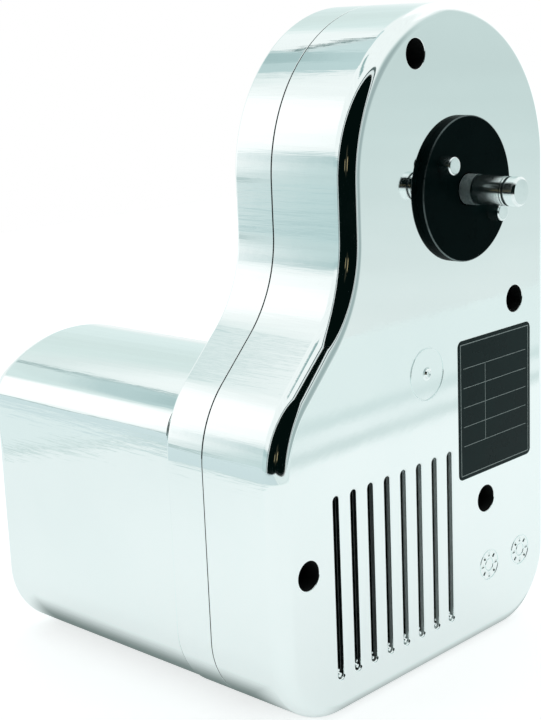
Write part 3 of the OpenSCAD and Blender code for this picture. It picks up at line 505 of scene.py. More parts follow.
class Group(Wiring):
    """A shader node group with named inputs and outputs."""

    def __init__(self, name: str, inputs: dict[str, object], outputs: Sequence[str]) -> None:
        """Makes the group's sockets.

        Args:
            name: the group's name.
            inputs: default of each input; a tuple of three makes a vector.
            outputs: names of the float outputs.
        """
        super().__init__(bpy.data.node_groups.new(name, "ShaderNodeTree"))
        face = self.tree.interface
        for label, value in inputs.items():
            kind = "NodeSocketVector" if isinstance(value, tuple) else "NodeSocketFloat"
            socket = face.new_socket(name=label, in_out="INPUT", socket_type=kind)
            socket.default_value = value
        for label in outputs:
            face.new_socket(name=label, in_out="OUTPUT", socket_type="NodeSocketFloat")
        self.source = self.tree.nodes.new("NodeGroupInput").outputs
        self.result = self.tree.nodes.new("NodeGroupOutput").inputs

    def give(self, **sockets: Socket) -> bpy.types.NodeTree:
        """Links a socket to each named output and gives the finished group.

        Args:
            sockets: what feeds each output, by its name.

        Returns:
            The group.
        """
        for label, socket in sockets.items():
            self.tree.links.new(socket, self.result[label])
        return self.tree


class Effects:
    """The effects that several materials use, each built once."""

    def __init__(self) -> None:
        """Builds the groups."""
        self.marks = self.surface_marks()
        self.lathe = self.turned_lines()
        self.lines = self.fine_lines()
        self.panel = self.studio_panel()

    @staticmethod
    def surface_marks() -> bpy.types.NodeTree:
        """Handling marks: roughness between two levels by a coarse noise, a fine one as height.

        Returns:
            The group.
        """
        g = Group("surface_marks", {"Vector": (0.0, 0.0, 0.0), "Coarse": 40.0, "Fine": 900.0,
                                    "Low": 0.1, "High": 0.2}, ["Roughness", "Height", "Mask"])
        place = g.source["Vector"]
        mask = g.ramp(g.noise(place, g.source["Coarse"], 5.0, 0.6), 0.35, 0.7)
        rough = g.ramp(mask, 0.0, 1.0, g.source["Low"], g.source["High"], smooth=False)
        return g.give(Roughness=rough, Height=g.noise(place, g.source["Fine"], 3.0), Mask=mask)

    @staticmethod
    def turned_lines() -> bpy.types.NodeTree:
        """Lathe marks about an axis along Y: sin(2 pi (radius + depth) / pitch) / 2 + noise.

        Returns:
            The group.
        """
        g = Group("turned_lines",
                  {"Vector": (0.0, 0.0, 0.0), "Axis X": 0.0, "Axis Z": 0.0, "Pitch": 0.0002},
                  ["Height", "Mask"])
        parts = g.node("SeparateXYZ", {0: g.source["Vector"]}).outputs
        radius = g.distance(g.math("SUBTRACT", parts["X"], g.source["Axis X"]),
                            g.math("SUBTRACT", parts["Z"], g.source["Axis Z"]))
        way = g.math("DIVIDE", g.math("ADD", radius, parts["Y"]), g.source["Pitch"])
        wave = g.math("SINE", g.math("MULTIPLY", way, 2 * math.pi))
        per_metre = 3000.0
        place = g.node("CombineXYZ", {"X": g.math("MULTIPLY", radius, per_metre),
                                      "Y": g.math("MULTIPLY", parts["Y"], per_metre)}).outputs[0]
        noise = g.noise(place, 1.0, 3.0)
        return g.give(Height=g.math("ADD", g.math("MULTIPLY", wave, 0.5), noise), Mask=noise)

    @staticmethod
    def fine_lines() -> bpy.types.NodeTree:
        """Even lines along a coordinate: 1 on a line, 0 between, with soft edges, and the wave.

        Away = 2 |fract(coordinate / pitch) - 1/2|, and the wave is cos(away x pi / 2).

        Returns:
            The group.
        """
        g = Group("fine_lines", {"Coordinate": 0.0, "Pitch": 0.001, "Width": 0.5},
                  ["Mask", "Height"])
        phase = g.math("FRACT", g.math("DIVIDE", g.source["Coordinate"], g.source["Pitch"]))
        away = g.math("MULTIPLY", g.math("ABSOLUTE", g.math("SUBTRACT", phase, 0.5)), 2.0)
        soft_edge = g.math("ADD", g.source["Width"], 0.12)
        return g.give(Mask=g.ramp(away, g.source["Width"], soft_edge, 1.0, 0.0),
                      Height=g.math("COSINE", g.math("MULTIPLY", away, math.pi / 2)))

    @staticmethod
    def studio_panel() -> bpy.types.NodeTree:
        """A soft-edged panel round the object, by azimuth and elevation in degrees.

        Returns:
            The group.
        """
        g = Group("studio_panel",
                  {"Azimuth": 0.0, "Elevation": 0.0, "Middle Azimuth": 0.0, "Half Width": 10.0,
                   "Middle Elevation": 0.0, "Half Height": 10.0, "Softness": 2.0}, ["Mask"])
        turn = g.math("SUBTRACT", g.source["Azimuth"], g.source["Middle Azimuth"])
        turn = g.math("WRAP", turn, 180.0, -180.0)
        rise = g.math("SUBTRACT", g.source["Elevation"], g.source["Middle Elevation"])
        masks = []
        for offset, half in ((turn, "Half Width"), (rise, "Half Height")):
            past = g.math("SUBTRACT", g.math("ABSOLUTE", offset), g.source[half])
            share = g.math("DIVIDE", past, g.source["Softness"])
            masks.append(g.ramp(share, -1.0, 1.0, 1.0, 0.0))
        return g.give(Mask=g.math("MULTIPLY", *masks))


# ---------------------------------------------------------------- finishes


class Recipe(Wiring):
    """A material under way: its tree, its shader and the Object coordinates."""

    def __init__(self, name: str, effects: Optional[Effects] = None) -> None:
        """Makes an empty material with its shader.

        Args:
            name: the material's name.
            effects: the shared effects, if it uses any.
        """
        self.material = bpy.data.materials.new(name)
        self.material.use_nodes = True
        super().__init__(self.material.node_tree)
        self.inputs = self.tree.nodes["Principled BSDF"].inputs
        self.effects = effects
        self.place = self.node("TexCoord").outputs["Object"]
        self.parts = self.node("SeparateXYZ", {0: self.place}).outputs

    def shade(self, values: dict) -> None:
        """Feeds the shader's named inputs."""
        for label, value in values.items():
            self.feed(self.inputs[label], value)

    def bump(self, height: Socket, distance: float, strength: float = 1.0) -> None:
        """Adds a Bump node in front of what feeds the normal.

        Args:
            height: the height, as a share of the distance.
            distance: how high 1 is, in metres.
            strength: how much of the bump shows.
        """
        old = self.inputs["Normal"].links
        values = {"Height": height, "Distance": distance, "Strength": strength}
        if old:
            values["Normal"] = old[0].from_socket
        self.shade({"Normal": self.node("Bump", values).outputs[0]})

    def near(self, value: Socket, middle: float, half: float) -> Socket:
        """1 where a coordinate is within half of the middle, in millimetres, and 0 elsewhere."""
        return self.math("COMPARE", value, middle * MM, half * MM)


@dataclass(frozen=True)
class Finish:
    """A surface finish: its colours, its gloss and how marked it is.

    Low and high are the ends of the roughness, coarse and fine the scales of the two noises
    and relief the height of the fine one in metres.
    """

    name: str
    colour: Colour
    second: Colour
    metallic: float = 0.0
    low: float = 0.3
    high: float = 0.45
    coarse: float = 60.0
    fine: float = 2500.0
    relief: float = 0.000004
    extras: tuple[tuple[str, float], ...] = ()

    def material(self, effects: Effects) -> bpy.types.Material:
        """Builds the material: colour and roughness by the handling marks, then the own pattern.

        Args:
            effects: the shared effects.

        Returns:
            The material.
        """
        recipe = Recipe(self.name, effects)
        recipe.shade({"Metallic": self.metallic, **dict(self.extras)})
        marks = recipe.effect(effects.marks, {
            "Vector": recipe.place, "Coarse": self.coarse, "Fine": self.fine,
            "Low": self.low, "High": self.high})
        colour = recipe.mix(marks["Mask"], self.colour, self.second)
        recipe.bump(marks["Height"], self.relief)
        recipe.shade({"Roughness": marks["Roughness"],
                      "Base Color": self.pattern(recipe, colour)})
        return recipe.material

    def pattern(self, recipe: Recipe, colour: Socket) -> Socket:
        """The finish's own pattern over its colour; a plain finish has none."""
        return colour

    def darker(self, share: float) -> Colour:
        """Its colour times a share."""
        return tuple(c * share for c in self.colour)


@dataclass(frozen=True)
class Polished(Finish):
    """Plated metal whose side walls keep faint polishing lines along Y."""

    across: float = 620.0
    along: float = 35.0
    depth: float = 0.00003

    def pattern(self, recipe: Recipe, colour: Socket) -> Socket:
        """A noise stretched along Y in the height, where the surface doesn't face along Y.

        Args:
            recipe: the material under way.
            colour: the finish's own colour.

        Returns:
            The colour with the pattern.
        """
        normal = recipe.node("NewGeometry").outputs["Normal"]
        facing = recipe.node("SeparateXYZ", {0: normal}).outputs["Y"]
        side = recipe.ramp(recipe.math("ABSOLUTE", facing), 0.1, 0.5, 1.0, 0.0, smooth=False)
        place = recipe.vector("MULTIPLY", recipe.place, (self.across, self.along, self.across))
        lines = recipe.noise(place, 1.0, 3.0, 0.6)
        recipe.bump(recipe.math("MULTIPLY", lines, side), self.depth)
        return colour


@dataclass(frozen=True)
class Turned(Finish):
    """Metal from a lathe, with fine rings about an axis along Y."""

    axis: Point2 = (0.0, 0.0)
    pitch: float = 0.12
    depth: float = 0.000002

    def pattern(self, recipe: Recipe, colour: Socket) -> Socket:
        """Rings in the height and, faintly, in the colour.

        Args:
            recipe: the material under way.
            colour: the finish's own colour.

        Returns:
            The colour with the pattern.
        """
        lines = recipe.effect(recipe.effects.lathe, {
            "Vector": recipe.place, "Axis X": self.axis[0] * MM, "Axis Z": self.axis[1] * MM,
            "Pitch": self.pitch * MM})
        recipe.bump(lines["Height"], self.depth)
        return recipe.mix(recipe.math("MULTIPLY", lines["Mask"], 0.25), colour, self.darker(0.75))


class Way(Enum):
    """The direction in which a pattern of lines repeats."""

    DEEP = "Y"
    UP = "Z"


@dataclass(frozen=True)
class Lined(Finish):
    """A stack or a cylinder of bars, with even lines across one direction."""

    way: Way = Way.DEEP
    pitch: float = 0.5
    width: float = 0.25
    line: Colour = (0.02, 0.02, 0.02)
    depth: float = 0.00005

    def pattern(self, recipe: Recipe, colour: Socket) -> Socket:
        """Lines in the colour and in the height.

        Args:
            recipe: the material under way.
            colour: the finish's own colour.

        Returns:
            The colour with the pattern.
        """
        lines = recipe.effect(recipe.effects.lines, {
            "Coordinate": recipe.parts[self.way.value], "Pitch": self.pitch * MM,
            "Width": self.width})
        recipe.bump(lines["Height"], self.depth, 0.6)
        return recipe.mix(lines["Mask"], colour, self.line)


@dataclass(frozen=True)
class Wound(Finish):
    """Enamelled wire wound about an axis along Y, with strands by radius and depth."""

    axis: Point2 = (0.0, 0.0)
    pitch: float = 0.4
    gap: float = 0.2
    slant: float = 0.6
    depth: float = 0.00008

    def pattern(self, recipe: Recipe, colour: Socket) -> Socket:
        """Strands in the height, with painted shade in the gaps between them, at radius + slant x
        depth.

        Args:
            recipe: the material under way.
            colour: the finish's own colour.

        Returns:
            The colour with the pattern.
        """
        radius = recipe.distance(recipe.math("SUBTRACT", recipe.parts["X"], self.axis[0] * MM),
                                 recipe.math("SUBTRACT", recipe.parts["Z"], self.axis[1] * MM))
        way = recipe.math("ADD", radius, recipe.math("MULTIPLY", recipe.parts["Y"], self.slant))
        lines = recipe.effect(recipe.effects.lines, {
            "Coordinate": way, "Pitch": self.pitch * MM, "Width": self.gap})
        recipe.bump(lines["Height"], self.depth, 0.8)
        # The gaps between strands are darkened in the colour: painted shade.
        return recipe.mix(lines["Mask"], colour, self.darker(0.2))


@dataclass(frozen=True)
class Ruled(Finish):
    """A blank rating plate: a thin frame line with empty ruled rows and one column."""

    middle: Point2 = (0.0, 0.0)
    size: Point2 = (1.0, 1.0)
    rows: tuple[float, ...] = (0.80, 0.66, 0.52, 0.38, 0.24)
    column: float = 0.36
    column_up: float = 0.52
    column_half: float = 0.28
    line_half: float = 0.09
    frame_in: float = 1.0
    frame_w: float = 0.25
    rows_in: float = 2.4
    ink: Colour = (0.5, 0.56, 0.55)

    def pattern(self, recipe: Recipe, colour: Socket) -> Socket:
        """Lines where a coordinate is within a line's half width of its place.

        Args:
            recipe: the material under way.
            colour: the plate's own colour.

        Returns:
            The colour with the lines.
        """
        (width, height), half = self.size, self.line_half
        x0, z0 = self.middle[0] - width / 2, self.middle[1] - height / 2
        across, up = recipe.parts["X"], recipe.parts["Z"]

        def box(inset: float) -> Socket:
            """1 inside the plate's edge moved in.

            Args:
                inset: how far in, in millimetres.

            Returns:
                The mask.
            """
            return recipe.math("MULTIPLY",
                               recipe.near(across, self.middle[0], width / 2 - inset),
                               recipe.near(up, self.middle[1], height / 2 - inset))

        column = recipe.math("MULTIPLY", recipe.near(across, x0 + self.column * width, half),
                             recipe.near(up, z0 + self.column_up * height,
                                         self.column_half * height))
        for share in self.rows:
            row = recipe.near(up, z0 + share * height, half)
            column = recipe.math("MAXIMUM", column, row)
        rows = recipe.math("MULTIPLY", column, box(self.rows_in))
        border = recipe.math("SUBTRACT", box(self.frame_in), box(self.frame_in + self.frame_w))
        return recipe.mix(recipe.math("MAXIMUM", rows, border), colour, self.ink)


@dataclass(frozen=True)
class SlotLightAndShade(Finish):
    """Painted light and shade on slot walls: lighter to the right along X, dark deeper in, and a
    painted reflection line.
    """

    # Colour without painted light, the X range where painted light rises, the depth it reaches and
    # the painted reflection line.
    shade_colour: Colour = (0.012, 0.016, 0.016)
    shade_x: float = -50.0
    lit_x: float = -24.0
    lit_to_y: float = 3.75
    soft_y: float = 0.2
    reflection_line_y: float = 3.7
    line_half: float = 0.13
    reflection_line_share: float = 0.45

    def pattern(self, recipe: Recipe, colour: Socket) -> Socket:
        """The share of painted light rises along X between its two ends, as far in as its depth,
        and is kept on the painted reflection line.

        Args:
            recipe: the material under way.
            colour: the finish's own colour.

        Returns:
            The colour with the painted light and shade.
        """
        along = recipe.ramp(recipe.parts["X"], self.shade_x * MM, self.lit_x * MM)
        deep = recipe.ramp(recipe.parts["Y"], (self.lit_to_y - self.soft_y) * MM,
                           (self.lit_to_y + self.soft_y) * MM, 1.0, 0.0, smooth=False)
        # A thin painted reflection line at one depth.
        line = recipe.near(recipe.parts["Y"], self.reflection_line_y, self.line_half)
        share = recipe.math("MAXIMUM", recipe.math("MULTIPLY", along, deep),
                            recipe.math("MULTIPLY", line, self.reflection_line_share))
        return recipe.mix(share, self.shade_colour, colour)


@dataclass(frozen=True)
class Banded(Finish):
    """A glass fuse: nickel caps at both ends of a clear middle, by place along X."""

    middle: float = 0.0
    half: float = 6.0
    glass: Colour = (0.72, 0.78, 0.76)

    def pattern(self, recipe: Recipe, colour: Socket) -> Socket:
        """The glass colour between the caps, with the caps' metal by the same mask.

        Args:
            recipe: the material under way.
            colour: the finish's own colour.

        Returns:
            The colour with the pattern.
        """
        inside = recipe.near(recipe.parts["X"], self.middle, self.half)
        recipe.shade({"Metallic": recipe.math("SUBTRACT", 1.0, inside)})
        return recipe.mix(inside, colour, self.glass)


@dataclass(frozen=True)
class Palette:
    """Every finish of the unit."""

    chrome: Finish = Polished(
        "chrome_plate", (0.92, 0.965, 0.96), (0.905, 0.955, 0.95),
        1.0, 0.03, 0.065, 25.0, 160.0, 0.00001)
    raw: Finish = Finish(
        "unplated_moulding", (0.012, 0.013, 0.013), (0.018, 0.019, 0.019),
        0.0, 0.5, 0.7, 80.0, 3000.0, 0.00001)
    satin_black: Finish = Finish(
        "black_coated_steel", (0.0022, 0.0085, 0.0085), (0.003, 0.0105, 0.0105),
        0.0, 0.25, 0.4, 90.0, 4000.0, 0.000004, (("Specular IOR Level", 0.008),))
    # Lighter, partly metallic finish on the disc's front bevel: a painted highlight line along the
    # rim, in uneven patches.
    bevel_highlight: Finish = Finish(
        "disc_bevel_painted_highlight", (0.012, 0.02, 0.02), (0.20, 0.25, 0.25),
        0.6, 0.25, 0.4, 45.0, 4000.0, 0.000004)
    # Darker steel as painted shade in the shaft's grooves and on its shoulder.
    groove_shade_steel: Finish = Finish(
        "shaft_groove_painted_shade", (0.05, 0.075, 0.075), (0.09, 0.12, 0.12),
        1.0, 0.35, 0.5, 300.0, 4000.0, 0.000004)
    collar_steel: Finish = Turned(
        "drawn_collar_steel", (0.62, 0.72, 0.72), (0.20, 0.28, 0.28),
        0.6, 0.4, 0.55, 330.0, 3000.0, 0.000004, pitch=0.3)
    # Vent slot walls: painted light rising towards the right slots, painted shade on the left ones,
    # and a painted reflection line.
    slot_painted_light: Finish = SlotLightAndShade(
        "slot_wall_painted_light", (0.90, 0.96, 0.95), (0.80, 0.88, 0.87),
        0.0, 0.35, 0.55, 150.0, 2500.0, 0.00001)
    bright_steel: Finish = Turned(
        "turned_bright_steel", (0.91, 0.97, 0.965), (0.80, 0.88, 0.875),
        1.0, 0.16, 0.26, 90.0, 3000.0, 0.000001)
    zinc: Finish = Finish(
        "zinc_plated_steel", (0.55, 0.58, 0.58), (0.40, 0.42, 0.42),
        1.0, 0.28, 0.45, 150.0, 3000.0, 0.000004)
    plate: Finish = Ruled(
        "dark_rating_plate", (0.006, 0.023, 0.023), (0.008, 0.028, 0.028),
        0.0, 0.25, 0.35, 70.0, 4000.0, 0.000002, (("Specular IOR Level", 0.08),),
        middle=LABEL_AT, size=LABEL_SIZE)
    bronze: Finish = Turned(
        "sintered_bronze", (0.45, 0.29, 0.11), (0.36, 0.22, 0.08),
        1.0, 0.35, 0.5, 200.0, 5000.0, 0.00001)
    motor_bronze: Finish = Turned(
        "sintered_bronze_motor", (0.45, 0.29, 0.11), (0.36, 0.22, 0.08),
        1.0, 0.35, 0.5, 200.0, 5000.0, 0.00001, axis=MOTOR_AT)
    acetal: Finish = Finish(
        "moulded_acetal", (0.78, 0.75, 0.66), (0.72, 0.69, 0.60),
        0.0, 0.35, 0.5, 60.0, 2500.0, 0.000006,
        (("Subsurface Weight", 0.05), ("Subsurface Scale", 0.002)))
    brass: Finish = Turned(
        "cut_brass", (0.76, 0.56, 0.24), (0.66, 0.47, 0.19),
        1.0, 0.2, 0.32, 120.0, 3000.0, 0.000003, axis=MOTOR_AT)
    motor_steel: Finish = Turned(
        "ground_steel", (0.66, 0.68, 0.69), (0.58, 0.60, 0.61),
        1.0, 0.14, 0.26, 120.0, 3000.0, 0.000001, axis=MOTOR_AT)
    laminations: Finish = Lined(
        "steel_laminations", (0.20, 0.21, 0.22), (0.15, 0.16, 0.17),
        1.0, 0.35, 0.5, 120.0, 3000.0, 0.000004)
    copper_wire: Finish = Wound(
        "enamelled_wire", (0.50, 0.17, 0.06), (0.42, 0.13, 0.05),
        0.7, 0.2, 0.32, 150.0, 3000.0, 0.000002, axis=MOTOR_AT)
    commutator: Finish = Lined(
        "commutator_copper", (0.62, 0.30, 0.16), (0.48, 0.22, 0.12),
        1.0, 0.22, 0.38, 150.0, 3000.0, 0.000002, way=Way.UP, pitch=2.2, width=0.12)
    black_nylon: Finish = Finish(
        "black_nylon", (0.014, 0.015, 0.016), (0.022, 0.023, 0.024),
        0.0, 0.35, 0.5, 70.0, 1800.0, 0.00002)
    rocker_black: Finish = Finish(
        "rocker_black", (0.018, 0.019, 0.020), (0.024, 0.025, 0.026),
        0.0, 0.22, 0.3, 70.0, 1500.0, 0.00001)
    mark_white: Finish = Finish(
        "switch_mark_white", (0.7, 0.71, 0.70), (0.62, 0.63, 0.62),
        0.0, 0.4, 0.5, 80.0, 2500.0, 0.000004)
    carbon: Finish = Finish(
        "pressed_carbon", (0.022, 0.022, 0.024), (0.04, 0.04, 0.042),
        0.3, 0.45, 0.6, 250.0, 5000.0, 0.00002)
    phenolic: Finish = Finish(
        "brown_phenolic", (0.075, 0.04, 0.022), (0.055, 0.03, 0.018),
        0.0, 0.35, 0.5, 120.0, 2500.0, 0.00001)
    spring: Finish = Finish(
        "spring_steel", (0.52, 0.53, 0.54), (0.44, 0.45, 0.46),
        1.0, 0.25, 0.35, 200.0, 4000.0, 0.000003)
    fuse: Finish = Banded(
        "fuse_glass_and_caps", (0.74, 0.75, 0.74), (0.68, 0.69, 0.68),
        0.0, 0.08, 0.16, 90.0, 2500.0, 0.000001, middle=MOTOR_AT[0], half=6.4)
    holder: Finish = Finish(
        "fuse_holder_moulding", (0.02, 0.035, 0.035), (0.03, 0.045, 0.045),
        0.0, 0.35, 0.5, 80.0, 2000.0, 0.00001)
    insulation: Finish = Finish(
        "lead_insulation", (0.15, 0.04, 0.022), (0.12, 0.032, 0.018),
        0.0, 0.35, 0.45, 120.0, 2500.0, 0.000006)


class Workshop:
    """Makes each material once and dresses pieces and CAD nodes with them."""

    def __init__(self, effects: Effects, palette: Palette) -> None:
        """Keeps the effects and the finishes.

        Args:
            effects: the shared effects.
            palette: the finishes.
        """
        self.effects = effects
        self.palette = palette
        self.made: dict[str, bpy.types.Material] = {}

    def material(self, finish: Finish) -> bpy.types.Material:
        """The material of a finish, made on first use.

        Args:
            finish: the finish.

        Returns:
            Its material.
        """
        if finish.name not in self.made:
            self.made[finish.name] = finish.material(self.effects)
        return self.made[finish.name]

    def finish_piece(self, skin: Skin, name: str, node: str, finishes: Sequence[Finish],
                     body: str = "casing") -> None:
        """Builds a piece, lets it ride on its body and lets it stand for its CAD node.

        Args:
            skin: the piece's faces.
            name: the piece's name.
            node: the CAD node that it stands for, whose slot has the same name.
            finishes: its finishes in order.
            body: the CAD body that it rides on.
        """
        piece = skin.build(name, [self.material(finish) for finish in finishes])
        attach(piece, body)
        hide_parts(node)
        LOG.info("%s: %d faces, rides on %s", name, len(piece.data.polygons), body)

    def dress(self, node: str, finish: Finish) -> None:
        """Gives a CAD node its finish.

        Args:
            node: the node's name.
            finish: its finish.
        """
        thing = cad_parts[node]
        if not thing.material_slots:
            thing.data.materials.append(None)
        for slot in thing.material_slots:
            slot.material = self.material(finish)
        LOG.info("%s: %s", node, finish.name)


# ---------------------------------------------------------------- the unit's pieces


@dataclass
class GearCasing:
    """The two chromed halves of the boot-shaped gear casing, with wells, slots and mould marks."""

    arcs: tuple[Arc, ...] = (
        (-2.4, 5.2, 45.0, 0, 180, 128),  # head
        (-83.4, -8.0, -36.0, 0, -45, 28),  # hollow neck
        (-48.007, -65.945, 30.0, 135, 180, 28),  # toe, under the slanted shoulder
        (-56.007, -114.005, 22.0, 180, 270, 40),  # left foot
        (20.6, -114.005, 22.0, 270, 360, 40),  # right foot
    )
    seam_y: float = 29.15
    seam_round: float = 0.12
    seam_gap: float = 0.16
    front_fillet: float = 5.5
    face_inset: float = 4.45
    rear_fillet: float = 1.2
    inner_round: float = 0.8
    tongue_gap: float = 0.15
    tongue_w: float = 1.2
    tongue_h: float = 2.0
    tongue_root: float = 1.2
    lip: float = 0.62
    slot_land: float = 0.05
    well_lip: float = 0.22
    well_plated: float = 0.3
    well_r: float = 4.0
    well_wall: float = 1.5
    well_depth: float = 18.0
    well_floor: float = 2.5
    shank_r: float = 1.95
    wells: tuple[Point2, ...] = (
        (-19.395, 37.163), (25.2, -34.8), (10.2, -92.155), (-67.707, -92.155))
    bush_r: float = 6.2
    bush_wall: float = 2.0
    bush_rise: float = 1.2
    stud_pcd: float = 26.7
    stud_angle: float = 146.3
    vent_middle: Point2 = (-31.607, -99.405)
    vent_count: int = 8
    vent_w: float = 2.5
    vent_l: float = 51.0
    flash_r: float = 0.85
    flash_vary: float = 0.2
    flash_low: tuple[Point3, ...] = (
        (0.0, 0.5, 0.0), (0.6, 0.6, 0.2), (1.0, 1.3, 0.3), (1.0, 2.1, 0.0), (0.0, 2.1, 0.0))
    flash_high: tuple[Point3, ...] = (
        (0.0, 0.8, 0.0), (0.4, 0.9, 0.15), (0.6, 1.5, 0.2), (0.6, 2.1, 0.0), (0.0, 2.1, 0.0))
    recess: float = 0.3
    recess_lip: float = 0.2
    recess_gap: float = 0.04
    gate_at: Point2 = (-17.0, -49.0)
    gate_r: float = 7.5
    nub: tuple[Point3, ...] = (
        (2.1, 0.0, 0.0), (1.9, 0.0, 0.15), (1.35, -0.2, 0.15), (1.0, -0.7, 0.25),
        (0.5, -0.6, 0.2), (0.3, 0.1, 0.05), (0.0, 0.1, 0.0))
    dials: tuple[Point2, ...] = ((11.5, -113.205), (27.5, -113.205))
    dial_r: float = 4.7
    hub_share: float = 0.45
    tick_share: float = 0.69
    tick_l: float = 0.3
    tick_w: float = 0.8
    mark_w: float = 0.45
    mark_depth: float = 0.35
    edge: float = 0.05
    first_at: Point2 = (-24.924, -72.049)
    second_at: Point2 = (-14.108, -38.762)
    second_boss: Point2 = (4.5, 2.5)
    first_boss: Point2 = (4.0, 2.0)
    well_boss: Point2 = (4.35, 1.75)
    boss_root: float = 0.5
    front_rise: Point2 = (2.4, 12.4)
    rear_rise: Point2 = (12.0, 4.0)
    bush_rear_rise: float = 5.0
    well_gap: float = 0.05
    motor_hole_r: float = 7.0
    bolt_r: float = 1.6
    bolts: tuple[Point2, ...] = ((-12.0, 37.95), (12.0, 37.95))

    def stud_places(self) -> list[Point2]:
        """Both studs: half the pitch circle at the stud angle and opposite."""
        rays = [math.radians(self.stud_angle), math.radians(self.stud_angle + 180)]
        return [(self.stud_pcd / 2 * math.cos(a), self.stud_pcd / 2 * math.sin(a)) for a in rays]

    def groove(self, skin: Skin, at: Point2, radius: float) -> list[Loop]:
        """A ring groove in the face: down its outer side, across and up its inner side.

        Args:
            skin: the casing's faces.
            at: its middle.
            radius: its outer radius.

        Returns:
            Its outer and its inner edge in the face.
        """
        ring, y, deep = turned(at), FACE_Y, FACE_Y + self.mark_depth
        sides = [(radius - 0.02, y, 0.08), (radius - 0.08, deep, 0.06)]
        low = radius - self.mark_w
        sides += [(low + 0.08, deep, 0.06), (low + 0.02, y, 0.08)]
        outer, inner = radius + self.edge, low - self.edge
        skin.run(ring, [(outer, y, 0), *sides, (inner, y, 0)], -1, 2)
        return [ring.out(outer), ring.out(inner)]

    def ticks(self, skin: Skin, at: Point2) -> list[Loop]:
        """Eight radial pockets between a dial's rings, each turned by its angle.

        Args:
            skin: the casing's faces.
            at: the dial's middle.

        Returns:
            Their edges in the face.
        """
        edges, floor = [], FACE_Y + self.mark_depth
        base = rounded_rectangle((self.dial_r * self.tick_share, 0.0),
                                 (self.dial_r * self.tick_l, self.tick_w), 0.2)
        for angle in np.radians(np.arange(0, 360, 45)):
            cos, sin = math.cos(angle), math.sin(angle)
            spin = np.array([[cos, sin], [-sin, cos]])
            loop = Loop(base.points @ spin + np.array(at), base.normals @ spin)
            skin.run(loop, [(0.06, FACE_Y, 0), (0, FACE_Y, self.edge), (0, floor, 0)], -1, 2)
            skin.sheet([loop], floor, -1)
            edges.append(loop.out(0.06))
        return edges

    def shell_edge(self, seam: float) -> Path:
        """From the face over the front fillet to the seam.

        The fillet is squeezed in the face's plane to the face's inset, and its normals are
        stretched by as much.

        Args:
            seam: depth of the seam.

        Returns:
            The path.
        """
        path = rounded_path([(-self.front_fillet, FACE_Y, 0), (0, FACE_Y, self.front_fillet),
                             (0, seam, self.seam_round), (-self.seam_round, seam, 0)], steps=18)
        squeeze = self.face_inset / self.front_fillet
        near = path.points[:, 1] < FACE_Y + self.front_fillet + 0.01
        path.points[near, 0] *= squeeze
        path.normals[near, 0] /= squeeze
        path.normals /= np.linalg.norm(path.normals, axis=1)[:, None]
        return path

    def well(self, skin: Skin, at: Point2, inner: float) -> tuple[Loop, Loop]:
        """A screw well: a plated lip, then the unplated bore, its floor and the tube round it.

        Args:
            skin: the casing's faces.
            at: its middle.
            inner: depth of the front wall's inner side.

        Returns:
            Its edge in the face and its tube's edge inside.
        """
        ring, r, tube = turned(at), self.well_r, self.well_r + self.well_wall
        plated, floor = FACE_Y + self.well_plated, FACE_Y + self.well_depth
        end = floor + self.well_floor
        skin.run(ring, [(r + self.well_lip, FACE_Y, 0), (r, FACE_Y, self.well_lip),
                        (r, plated, 0)], -1)
        skin.run(ring, [(r, plated, 0), (r, floor, 0.3), (self.shank_r, floor, 0.1),
                        (self.shank_r, end, 0), (tube, end, 0.3), (tube, inner, 0)], -1, finish=1)
        return ring.out(r + self.well_lip), ring.out(tube)

    def slot(self, skin: Skin, i: int, inner: float) -> tuple[Loop, Loop]:
        """A vent slot: a plated lip, the wall with painted light and shade, and the flash at its
        lower end.

        Args:
            skin: the casing's faces.
            i: its number from the left.
            inner: depth of the front wall's inner side.

        Returns:
            Its edge in the face and its edge inside.
        """
        away = (i - (self.vent_count - 1) / 2) * OUTLET_PITCH
        at = (self.vent_middle[0] + away, self.vent_middle[1])
        loop = round_slot(at, self.vent_w, self.vent_l, True, 12)
        land = FACE_Y + self.lip + self.slot_land
        skin.run(loop, [(self.lip, FACE_Y, 0), (0, FACE_Y, self.lip), (0, land, 0)], -1)
        # The wall's finish paints light and shade on it.
        skin.run(loop, [(0, land, 0), (0, inner, 0)], -1, finish=2)
        self.flash(skin, i, (at[0], at[1] - self.vent_l / 2))
        return loop.out(self.lip), loop

    def flash(self, skin: Skin, i: int, at: Point2) -> None:
        """Two turned lumps at a slot's lower end, whose size and place vary with its number.

        A lump's outline is given as (share of its radius, depth, rounding), and its radius is
        flash_r + flash_vary x cos(1.7 i).

        Args:
            skin: the casing's faces.
            i: the slot's number.
            at: the slot's lowest point.
        """
        r = self.flash_r + self.flash_vary * math.cos(1.7 * i)
        lumps = (((at[0] + 0.25 * math.sin(2.1 * i), at[1] + 0.9), self.flash_low),
                 ((at[0] - 0.35 * math.cos(2.6 * i), at[1] + 2.3), self.flash_high))
        for place, outline in lumps:
            path = [(r * share, FACE_Y + deep, soft) for share, deep, soft in outline]
            skin.run(turned(place, 24), path, steps=3)

    def label_recess(self, skin: Skin) -> Loop:
        """The label's shallow pocket.

        Args:
            skin: the casing's faces.

        Returns:
            Its edge in the face.
        """
        label, floor = rounded_rectangle(LABEL_AT, LABEL_SIZE, LABEL_R, 10), FACE_Y + self.recess
        skin.run(label, [(self.recess_lip, FACE_Y, 0), (self.recess_gap, FACE_Y, 0.14),
                         (self.recess_gap, floor, 0)], -1, 3)
        skin.sheet([label.out(self.recess_gap)], floor, -1)
        return label.out(self.recess_lip)

